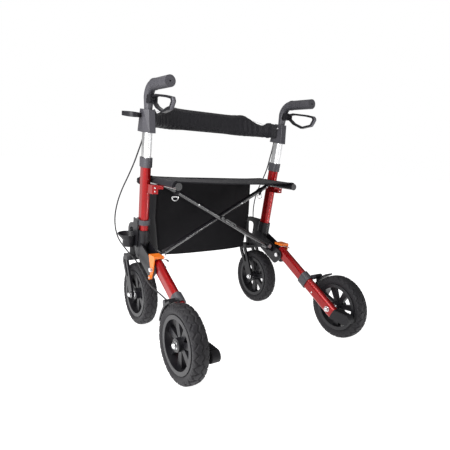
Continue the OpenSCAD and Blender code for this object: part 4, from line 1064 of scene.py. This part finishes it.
class ROLLATOR_OT_bag(bpy.types.Operator):
    """Hang the shopping bag below the seat, with sunk sides, a bound top edge and a flap"""

    bl_idname = "rollator.bag"
    bl_label = "Bag"

    wide, deep, levels = 44, 12, 34
    # Share of the way down, and half width there
    widths = ((0.0, 214.5), (0.5, 218.5), (1.0, 199.5))
    top_z, low_z, back_y, depth = 541, 248, 228, 82
    flap_y, flap_z, flap_rows, flap_tuck, flap_ripple = 181, 542.2, 8, 4, 0.5
    # How far the back and front swell, the sides sink in, the corners rise and the floor sags, and the depth
    # of the drag lines from the top corners
    swells, sunk, corner_rise, floor_sag, drag_depth = {0: -6, 1: 7}, 16, 6, 3, 2.2
    binding_at, binding_size, piping_r, piping_sides, piping_steps = 0.022, (4 * MM, 13 * MM), 1.7 * MM, 8, 40
    stitch, thread_at, thread_end, thread_steps, thread_out = (4.2, 2.4, 0.4), (0.045, 0.06), 0.98, 120, 1.1

    def execute(self, context):
        cloth = context.scene.rollator_cloth
        self.crease = cloth.bag_crease
        loop = [(-1 + 2 * k / self.wide, 0.0) for k in range(self.wide)]
        loop += [(1.0, k / self.deep) for k in range(self.deep)]
        loop += [(1 - 2 * k / self.wide, 1.0) for k in range(self.wide)]
        loop += [(-1.0, 1 - k / self.deep) for k in range(self.deep)]
        bag = new_piece("bag_shell", *self.shell(loop))
        flap = new_piece("bag_flap", *self.flap())
        for piece in (bag, flap):
            thicken(piece, cloth.bag_thickness)
        dress(bag, "seat", "bag_fabric", "bag")
        dress(flap, "seat", "bag_fabric")
        rim = [self.wall(u, v, self.binding_at) for u, v in loop]
        binding = merged("bag_binding", [sweep(rim, flat_section(*self.binding_size), closed=True)])
        shares = [k / self.piping_steps for k in range(self.piping_steps + 1)]
        cords = [[self.wall(u, v, t) for t in shares] for u, v in ((-1, 0), (1, 0), (1, 1), (-1, 1))]
        cords += [[self.wall(-1 + 2 * t, v, 1.0) for t in shares] for v in (0, 1)]
        section = round_section(self.piping_r, self.piping_sides)
        piping = merged("bag_piping", [sweep(line, section) for line in cords])
        for piece in (binding, piping):
            dress(piece, "seat", "webbing")
        thread = merged("bag_stitches", self.stitches())
        dress(thread, "seat", "thread")
        for piece in (bag, flap, binding, piping, thread):
            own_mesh(piece)
        return {"FINISHED"}

    def shell(self, loop):
        """Points and faces of the four walls, from the top down, and of the floor."""
        points = []
        for i in range(self.levels + 1):
            points += [self.wall(u, v, i / self.levels) for u, v in loop]
        count = len(loop)
        faces = grid_faces(self.levels + 1, count, closed=True)
        base = self.levels * count
        rows = [[base + k for k in range(self.wide + 1)]]
        for r in range(1, self.deep):
            row = [base + count - r]
            for k in range(1, self.wide):
                row.append(len(points))
                points.append(self.wall(-1 + 2 * k / self.wide, r / self.deep, 1.0))
            rows.append(row + [base + self.wide + r])
        rows.append([base + 2 * self.wide + self.deep - k for k in range(self.wide + 1)])
        for a, b in zip(rows, rows[1:]):
            faces += [(a[k], a[k + 1], b[k + 1], b[k]) for k in range(self.wide)]
        return points, faces

    def flap(self):
        """Points and faces of the strip that carries the bag below the seat."""
        rows, points = self.flap_rows, []
        for r in range(rows):
            y = self.flap_y + (self.back_y + 1 - self.flap_y) * r / (rows - 1)
            drop = max(0, r - rows + 2) * (self.flap_z - self.top_z + self.flap_tuck)
            for k in range(self.wide + 1):
                u = -1 + 2 * k / self.wide
                lift = self.flap_ripple * (noise.noise(Vector((u * 4, r * 0.3, 8.8))) - 1)
                points.append(mm(u * self.widths[0][1], y, self.flap_z - drop + lift))
        return points, grid_faces(rows, self.wide + 1)

    def wall(self, u, v, t):
        """Point of the bag: u across, v from back to front, t from the top edge down."""
        (t0, w0), (t1, w1), (t2, w2) = self.widths
        half = w0 + (w1 - w0) * (t - t0) / (t1 - t0) if t < t1 else w1 + (w2 - w1) * (t - t1) / (t2 - t1)
        x, y = u * half, self.back_y + v * self.depth
        y += self.swells.get(v, 0) * math.sin(math.pi * min(1, 0.15 + 0.85 * t)) * (1 - u * u)
        if abs(u) == 1:
            x -= u * self.sunk * math.sin(math.pi * v) * (1 - 0.5 * t)
        low = self.low_z + self.corner_rise * abs(u) ** 3
        z = self.top_z + (low - self.top_z) * t
        if t == 1:
            z -= self.floor_sag * math.sin(math.pi * v) * (1 - u * u)
        broad = noise.noise(Vector((u * 2.2, v * 2, t * 2.6 + 4.4)))
        fine = noise.noise(Vector((u * 5 + t * 3, v * 2, t * 4)))
        hold = math.sin(math.pi * min(1, t + 0.08)) * (1 - u**6)
        y += self.crease / MM * (broad + 0.5 * fine) * hold * (1 if v in (0, 1) else 0.3)
        drag = math.exp(-(((abs(u) - 0.75 + 0.45 * t) / 0.09) ** 2)) * (1 - t)
        y += (1 - 2 * v) * self.drag_depth * drag * (1 - u**8)
        return mm(x, y, z)

    def stitches(self):
        rows, steps = [], self.thread_steps
        for v, out in ((0, -self.thread_out), (1, self.thread_out)):
            for t in self.thread_at:
                shares = [-self.thread_end + 2 * self.thread_end * k / steps for k in range(steps + 1)]
                rows += dashes([self.wall(u, v, t) + mm(0, out, 0) for u in shares], self.stitch)
        return rows


class ROLLATOR_OT_hardware(bpy.types.Operator):
    """Add bolt heads, rivets, nuts, rings and other small hardware"""

    bl_idname = "rollator.hardware"
    bl_label = "Small hardware"

    # Fasteners of the right side: name, form, places, axis, diameter and height, body and finish
    fasteners = (
        ("leg_rivet", "dome", (on_leg(-222, 6, 0.1 - LEG_HALF_W),), IN, (7, 2), "leg_assembly", "steel"),
        ("latch_rivet", "dome", ((307.2, 74, 221),), OUT, (7, 2), "leg_latch", "steel"),
        ("saddle_rivets", "dome", ((280, 108, 508), (280, 108, 520)), BACK, (6, 2), "frame", "steel"),
        ("block_rivet", "dome", (on_upright(760, BLOCK_IN, 2),), IN, (8, 2), "handle", "steel"),
        ("block_screw", "socket_head", (on_upright(754, BLOCK_OUT - 0.2, 10),), OUT, (9, 2), "handle",
         "black_metal"),
    )
    pivot_cap, pivot_cap_sunk = (15, 3), 0.1
    # Size of each, and how far it lies within the axle's end. Washers: diameter, bore and height. Nut: flats,
    # height and crown. Head: diameter and height
    nut, nut_washer = ((17, 5.5, 3.5), 8), ((21, 16.4, 1.6), 9.8)
    head, head_washer = ((15, 3.5), 0.1), ((20, 16.2, 1.4), 5.9)
    # Radius and height of a head, as shares, and its socket's radius and floor
    head_profile, socket_r, socket_floor = ((1, 0), (1, 0.75), (0.88, 1), (0.56, 1)), 0.5, 0.4
    rivet_foot, rivet_rim, rivet_angles = 0.3, 0.12, (0.35, 0.7, 1.05, 1.35)
    # Heights of a nut's rings, with a share of its flats where they are round, and radii of its crown's
    nut_rings, crown_rings = ((0, 0.93), (0.08, None), (0.85, None), (1, 0.9)), (0.75, 0.45, 0.15)
    washer_edge, crisp_above = 0.4, 32
    sides, rivet_sides, washer_sides = 24, 20, 28
    spring_x, spring_size, spring_steps = 269, (8 * MM, 1.2 * MM), 5
    spring_line = ((70, 287.4), (52, 287.6), (38, 290), (22, 292), (9, 289))
    brace_rivet, brace_rivets_x, brace_rivet_sunk = (6.5, 2), (104, 226), 0.4
    # Width of the strap, and how far its thickness reaches in and out
    strap_x, strap_sides, loop_gap, loop_size = 194, 28, 0.2, (14 * MM, 0, 1.6 * MM)
    tail_gap, tail_step, tail_points, tail_size = 0.4, 2.2, 5, (13 * MM, -1.2 * MM, 1.2 * MM)
    ring_r, ring_drop, ring_steps, ring_bar, ring_bar_up = 12.5, 3, 24, (12, 6, 0, -6, -12), 1.5
    wire_r, wire_sides = 1.7 * MM, 10
    # Course of the finger pad as shares of the lever's length and height, and its profile across the lever
    pad_line = ((-0.86, -0.06), (-0.95, -0.11), (-0.99, -0.3), (-0.9, -0.68), (-0.78, -0.745))
    pad_middle, pad_steps, pad_rise, pad_ridges = (-0.55, -0.33), 6, 3.2, (1.3, 1.9)
    pad_profile = ((-6.2, -0.6), (-5.4, 0.8), (0, 1), (5.4, 0.8), (6.2, -0.6))

    def execute(self, context):
        cap_at = (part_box("right_bracket_bolts")[1].x / MM - self.pivot_cap_sunk, LEG_PIVOT.y, LEG_PIVOT.z)
        cap = ("leg_pivot_cap", "socket_head", (cap_at,), OUT, self.pivot_cap, "frame", "steel")
        for side, sign in SIDES:
            for name, form, places, axis, size, body, finish_name in (cap, *self.fasteners):
                parts = [getattr(self, form)(on_side(sign, at), on_side(sign, axis), size) for at in places]
                self.add(f"{side}_{name}", parts, f"{side}_{body}", finish_name)
            self.axle_ends(side, sign)
            self.latch_spring(side, sign)
            self.brace_hardware(side, sign)
            self.lever_pad(side, sign)
        return {"FINISHED"}

    def add(self, name, parts, body, finish_name="steel"):
        piece = merged(name, parts)
        crisp(piece, self.crisp_above)
        return dress(piece, body, finish_name)

    def socket_head(self, at, axis, size):
        """Cap screw head with a six sided socket, on an axis that points out of the piece."""
        r, h, n = size[0] / 2, size[1], self.sides
        points, faces = lathe([(r * a, h * b) for a, b in self.head_profile], n)
        start = len(points)
        for height in (h, self.socket_floor * h):
            points += self.six_sided(self.socket_r * r, height)
        for i in range(n):
            j = (i + 1) % n
            faces.append((start - n + i, start - n + j, start + j, start + i))
            faces.append((start + i, start + j, start + n + j, start + n + i))
        faces += [tuple(range(start + n, start + 2 * n)), tuple(range(n - 1, -1, -1))]
        return placed((points, faces), aim(mm(*at), axis))

    def six_sided(self, corner, height, flats_share=None):
        """Points round a hexagon, from its corners' radius, or round a share of the circle inside it."""
        flats, points = corner * math.cos(math.pi / 6), []
        for a in around(self.sides):
            r = flats * flats_share if flats_share else flats / math.cos(a % (math.pi / 3) - math.pi / 6)
            points.append(mm(r * math.cos(a), r * math.sin(a), height))
        return points

    def dome(self, at, axis, size):
        """Rivet head."""
        r, h, rim = size[0] / 2, size[1], self.rivet_rim
        profile = [(0, -self.rivet_foot), (r, -self.rivet_foot), (r, rim * h)]
        profile += [(r * math.cos(a), h * (rim + (1 - rim) * math.sin(a))) for a in self.rivet_angles]
        return placed(lathe(profile + [(0, h)], self.rivet_sides), aim(mm(*at), axis))

    def hex_nut(self, at, axis, size):
        """Dome nut: six flats with chamfered corners and a round crown."""
        flats, h, crown = size
        points = []
        for height, round_share in self.nut_rings:
            points += self.six_sided(flats / 2 / math.cos(math.pi / 6), height * h, round_share)
        for k in self.crown_rings:
            points += [p * MM for p in circle(flats / 2 * k, self.sides, h + crown * math.sqrt(1 - k * k))]
        return placed((points, tube_faces(len(points) // self.sides, self.sides)), aim(mm(*at), axis))

    def washer(self, at, axis, size):
        d, bore, h = size
        e = self.washer_edge
        profile = ((bore / 2, 0), (d / 2 - e, 0), (d / 2, e), (d / 2, h - e), (d / 2 - e, h), (bore / 2, h))
        points = lathe(profile, self.washer_sides)[0]
        return placed((points, tube_faces(len(profile), self.washer_sides, joined=True)), aim(mm(*at), axis))

    def axle_ends(self, side, sign):
        """Nuts and heads on the ends of the axles."""
        for place, y, body in (("rear", REAR_AXLE_Y, "leg_assembly"), ("front", FRONT_AXLE_Y, "caster")):
            low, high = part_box(f"{side}_{place}_axle")
            inner, outer = sorted((low.x / MM, high.x / MM), key=abs)
            for label, end, way, rows in (
                ("nut", outer, sign, ((self.washer, self.nut_washer), (self.hex_nut, self.nut))),
                ("head", inner, -sign, ((self.washer, self.head_washer), (self.socket_head, self.head))),
            ):
                parts = [make((end - way * within, y, AXLE_Z), (way, 0, 0), size)
                         for make, (size, within) in rows]
                self.add(f"{side}_{place}_axle_{label}", parts, f"{side}_{body}")

    def latch_spring(self, side, sign):
        """Flat steel spring below the latch, bent down at its free end."""
        line = smooth_route([mm(sign * self.spring_x, y, z) for y, z in self.spring_line], self.spring_steps)
        self.add(f"{side}_latch_spring", [sweep(line, flat_section(*self.spring_size))], f"{side}_leg_latch")

    def brace_hardware(self, side, sign):
        """Rivets in a brace tube, and a steel D ring on a webbing loop round it."""
        body, face = BRACE_BODY[side], self.brace_rivet_sunk - BRACE_R
        places = [on_brace(side, sign, x, face) for x in self.brace_rivets_x]
        self.add(f"{side}_brace_rivets", [self.dome(at, BACK, self.brace_rivet) for at in places], body)
        along = Vector((sign * math.cos(BRACE_SLOPE), 0, math.sin(BRACE_SLOPE)))
        down = Vector((sign * math.sin(BRACE_SLOPE), 0, -math.cos(BRACE_SLOPE)))
        centre = mm(*on_brace(side, sign, self.strap_x))
        outs = [Vector((0, -math.cos(a), 0)) + down * math.sin(a) for a in around(self.strap_sides)]
        loop = [centre + out * (BRACE_R + self.loop_gap) * MM for out in outs]
        top = centre + down * (BRACE_R + self.tail_gap) * MM
        tail = [top + mm(0, 0, -self.tail_step * k) for k in range(self.tail_points)]
        tail_outs = [Vector((0, 0, -1)).cross(along).normalized()] * self.tail_points
        strap = merged(f"{side}_ring_strap", [
            self.ribbon(loop, outs, along, self.loop_size, joined=True),
            self.ribbon(tail, tail_outs, along, self.tail_size, joined=False)])
        dress(strap, body, "webbing")
        hang = tail[-1] + mm(0, 0, -self.ring_drop)
        turns = [math.pi * (1 + k / self.ring_steps) for k in range(self.ring_steps + 1)]
        outline = [hang + mm(self.ring_r * math.cos(a), 0, self.ring_r * math.sin(a)) for a in turns]
        outline += [hang + mm(u, 0, self.ring_bar_up) for u in self.ring_bar]
        ring = sweep(outline, round_section(self.wire_r, self.wire_sides), closed=True)
        self.add(f"{side}_d_ring", [ring], body)

    def ribbon(self, line, outs, along, size, joined):
        """Flat band whose width lies along a direction, and its thickness on each point's out."""
        width, low, high = size
        half = along * width / 2
        corners = ((-half, low), (half, low), (half, high), (-half, high))
        points = [p + edge + out * rise for p, out in zip(line, outs) for edge, rise in corners]
        return points, tube_faces(len(line), len(corners), joined)

    def lever_pad(self, side, sign):
        """Ridged finger pad along the back end of the lever's loop."""
        pivot = on_side(sign, LEVER_PIVOT)
        middle, *course = (pivot + Vector((0, a * LEVER_LENGTH, b * LEVER_HEIGHT))
                           for a, b in (self.pad_middle, *self.pad_line))
        line = smooth_route(course, self.pad_steps)
        points = []
        for i, p in enumerate(line):
            out = (p - middle).normalized()
            for across, share in self.pad_profile:
                rise = self.pad_rise + (share * self.pad_ridges[i % 2] if share > 0 else share)
                points.append((p + out * rise + Vector((across, 0, 0))) * MM)
        piece = new_piece(f"{side}_lever_pad", points, tube_faces(len(line), len(self.pad_profile)))
        turn_faces_out(piece.data)
        dress(piece, f"{side}_lever", "lever_pad")


class ROLLATOR_OT_stage(bpy.types.Operator):
    """Set the floor, the soft studio light and the camera"""

    bl_idname = "rollator.stage"
    bl_label = "Studio and camera"

    floor_half, floor_z = 14, -0.001
    # Share of the floor's glow that light bounced off it lacks
    bounce_less = 0.8
    # Name, place, what it is aimed at, width, height and share of the key light's power
    lights = (
        ("left_softbox", (-0.95, -0.25, 0.95), (-0.28, 0.1, 0.5), 0.7, 1.1, 0.55),
        ("left_card", (-2.3, 0.6, 0.9), (0, 0.1, 0.6), 2.2, 1.8, 0.35),
        ("right_strip", (1.5, -2.3, 1.7), (0, 0, 0.45), 0.3, 1.8, 0.25),
        ("top_softbox", (-0.2, 0.4, 2.4), (-0.1, 0, 0.45), 1.8, 1.8, 0.3),
        ("front_softbox", (0.4, 2.4, 1.5), (0, 0, 0.45), 1.6, 1.2, 0.2),
        ("floor_strip", (0.62, -1.5, 0.03), (0.62, -1.5, 1.0), 0.12, 1.8, 0.5),
    )
    sensor, clip_from, clip_to = 36, 0.01, 60
    camera_at = (-0.8683, -1.1542, 0.6589)
    camera_axes = (
        (0.82406284, -0.56292908, 0.06349237), (0.0494812, 0.18317512, 0.98183425),
        (-0.56433327, -0.80595144, 0.17880222),
    )

    def execute(self, context):
        stage = context.scene.rollator_stage
        self.floor(stage)
        self.room(context, stage)
        for name, at, target, width, height, share in self.lights:
            light = bpy.data.lights.new(name, "AREA")
            light.shape, light.size, light.size_y = "RECTANGLE", width, height
            light.energy = stage.key * share
            lamp = bpy.data.objects.new(name, light)
            lamp.location = at
            lamp.rotation_euler = (Vector(target) - Vector(at)).to_track_quat("-Z", "Y").to_euler()
            lamp.visible_camera = False
            context.scene.collection.objects.link(lamp)
        camera = bpy.data.objects.new("camera", bpy.data.cameras.new("camera"))
        camera.data.lens, camera.data.sensor_width = stage.lens, self.sensor
        camera.data.clip_start, camera.data.clip_end = self.clip_from, self.clip_to
        turn = Matrix(self.camera_axes).transposed().to_4x4()
        camera.matrix_world = Matrix.Translation(self.camera_at) @ turn
        context.scene.collection.objects.link(camera)
        context.scene.camera = camera
        context.scene.view_settings.view_transform = "Standard"
        return {"FINISHED"}

    def floor(self, stage):
        """A white floor that glows to the eye, and less to the object."""
        corners = ((-1, -1), (1, -1), (1, 1), (-1, 1))
        points = [(x * self.floor_half, y * self.floor_half, self.floor_z) for x, y in corners]
        floor = new_piece("studio_floor", points, [(0, 1, 2, 3)])
        material, tree, shader, place = blank_finish("studio_floor")
        grain = grained(tree, place, stage.floor, Scale=60.0, Mottle=0.02, Roughness=0.8, Spread=0.1)
        bounced = tree.nodes.new("ShaderNodeLightPath").outputs["Is Diffuse Ray"]
        less = times(tree, bounced, self.bounce_less * stage.glow)
        put_in(tree, shader, {
            "Base Color": grain["Color"], "Roughness": grain["Roughness"], "Specular IOR Level": 0.1,
            "Emission Color": (1, 1, 1, 1), "Emission Strength": math_of(tree, "SUBTRACT", stage.glow, less),
        })
        floor.data.materials.append(material)

    def room(self, context, stage):
        """A white room that the camera sees at full strength and the object at a lower one."""
        world = context.scene.world or bpy.data.worlds.new("studio")
        context.scene.world = world
        world.use_nodes = True
        tree = world.node_tree
        tree.nodes.clear()
        seen = node_of(tree, "ShaderNodeBackground", {"Color": (1, 1, 1, 1), "Strength": stage.backdrop})
        lit = node_of(tree, "ShaderNodeBackground", {"Color": (1, 1, 1, 1), "Strength": stage.room})
        ray = tree.nodes.new("ShaderNodeLightPath").outputs["Is Camera Ray"]
        both = node_of(tree, "ShaderNodeMixShader", {0: ray, 1: lit.outputs[0], 2: seen.outputs[0]})
        out = tree.nodes.new("ShaderNodeOutputWorld")
        tree.links.new(both.outputs[0], out.inputs["Surface"])


class ROLLATOR_PT_sidebar(bpy.types.Panel):
    """Buttons and settings of the rollator"""

    bl_idname = "ROLLATOR_PT_sidebar"
    bl_label = "Rollator"
    bl_space_type = "VIEW_3D"
    bl_region_type = "UI"
    bl_category = "Rollator"

    def draw(self, context):
        for group in SETTINGS:
            box = self.layout.box()
            settings = getattr(context.scene, group)
            for key in settings.__annotations__:
                box.prop(settings, key)
        for operator in OPERATORS:
            self.layout.operator(operator.bl_idname)


SETTINGS = {
    "rollator_finish": RollatorFinish,
    "rollator_cloth": RollatorCloth,
    "rollator_tread": RollatorTread,
    "rollator_stage": RollatorStage,
}
OPERATORS = (
    ROLLATOR_OT_stage, ROLLATOR_OT_finishes, ROLLATOR_OT_cables, ROLLATOR_OT_tyres, ROLLATOR_OT_seat,
    ROLLATOR_OT_backrest, ROLLATOR_OT_bag, ROLLATOR_OT_hardware,
)
CLASSES = (*SETTINGS.values(), *OPERATORS, ROLLATOR_PT_sidebar)


def register():
    for cls in CLASSES:
        bpy.utils.register_class(cls)
    for name, group in SETTINGS.items():
        setattr(bpy.types.Scene, name, PointerProperty(type=group))


def unregister():
    for name in SETTINGS:
        delattr(bpy.types.Scene, name)
    for cls in reversed(CLASSES):
        bpy.utils.unregister_class(cls)


def main():
    register()
    for operator in OPERATORS:
        space, name = operator.bl_idname.split(".")
        getattr(getattr(bpy.ops, space), name)()


if __name__ == "__main__":
    main()
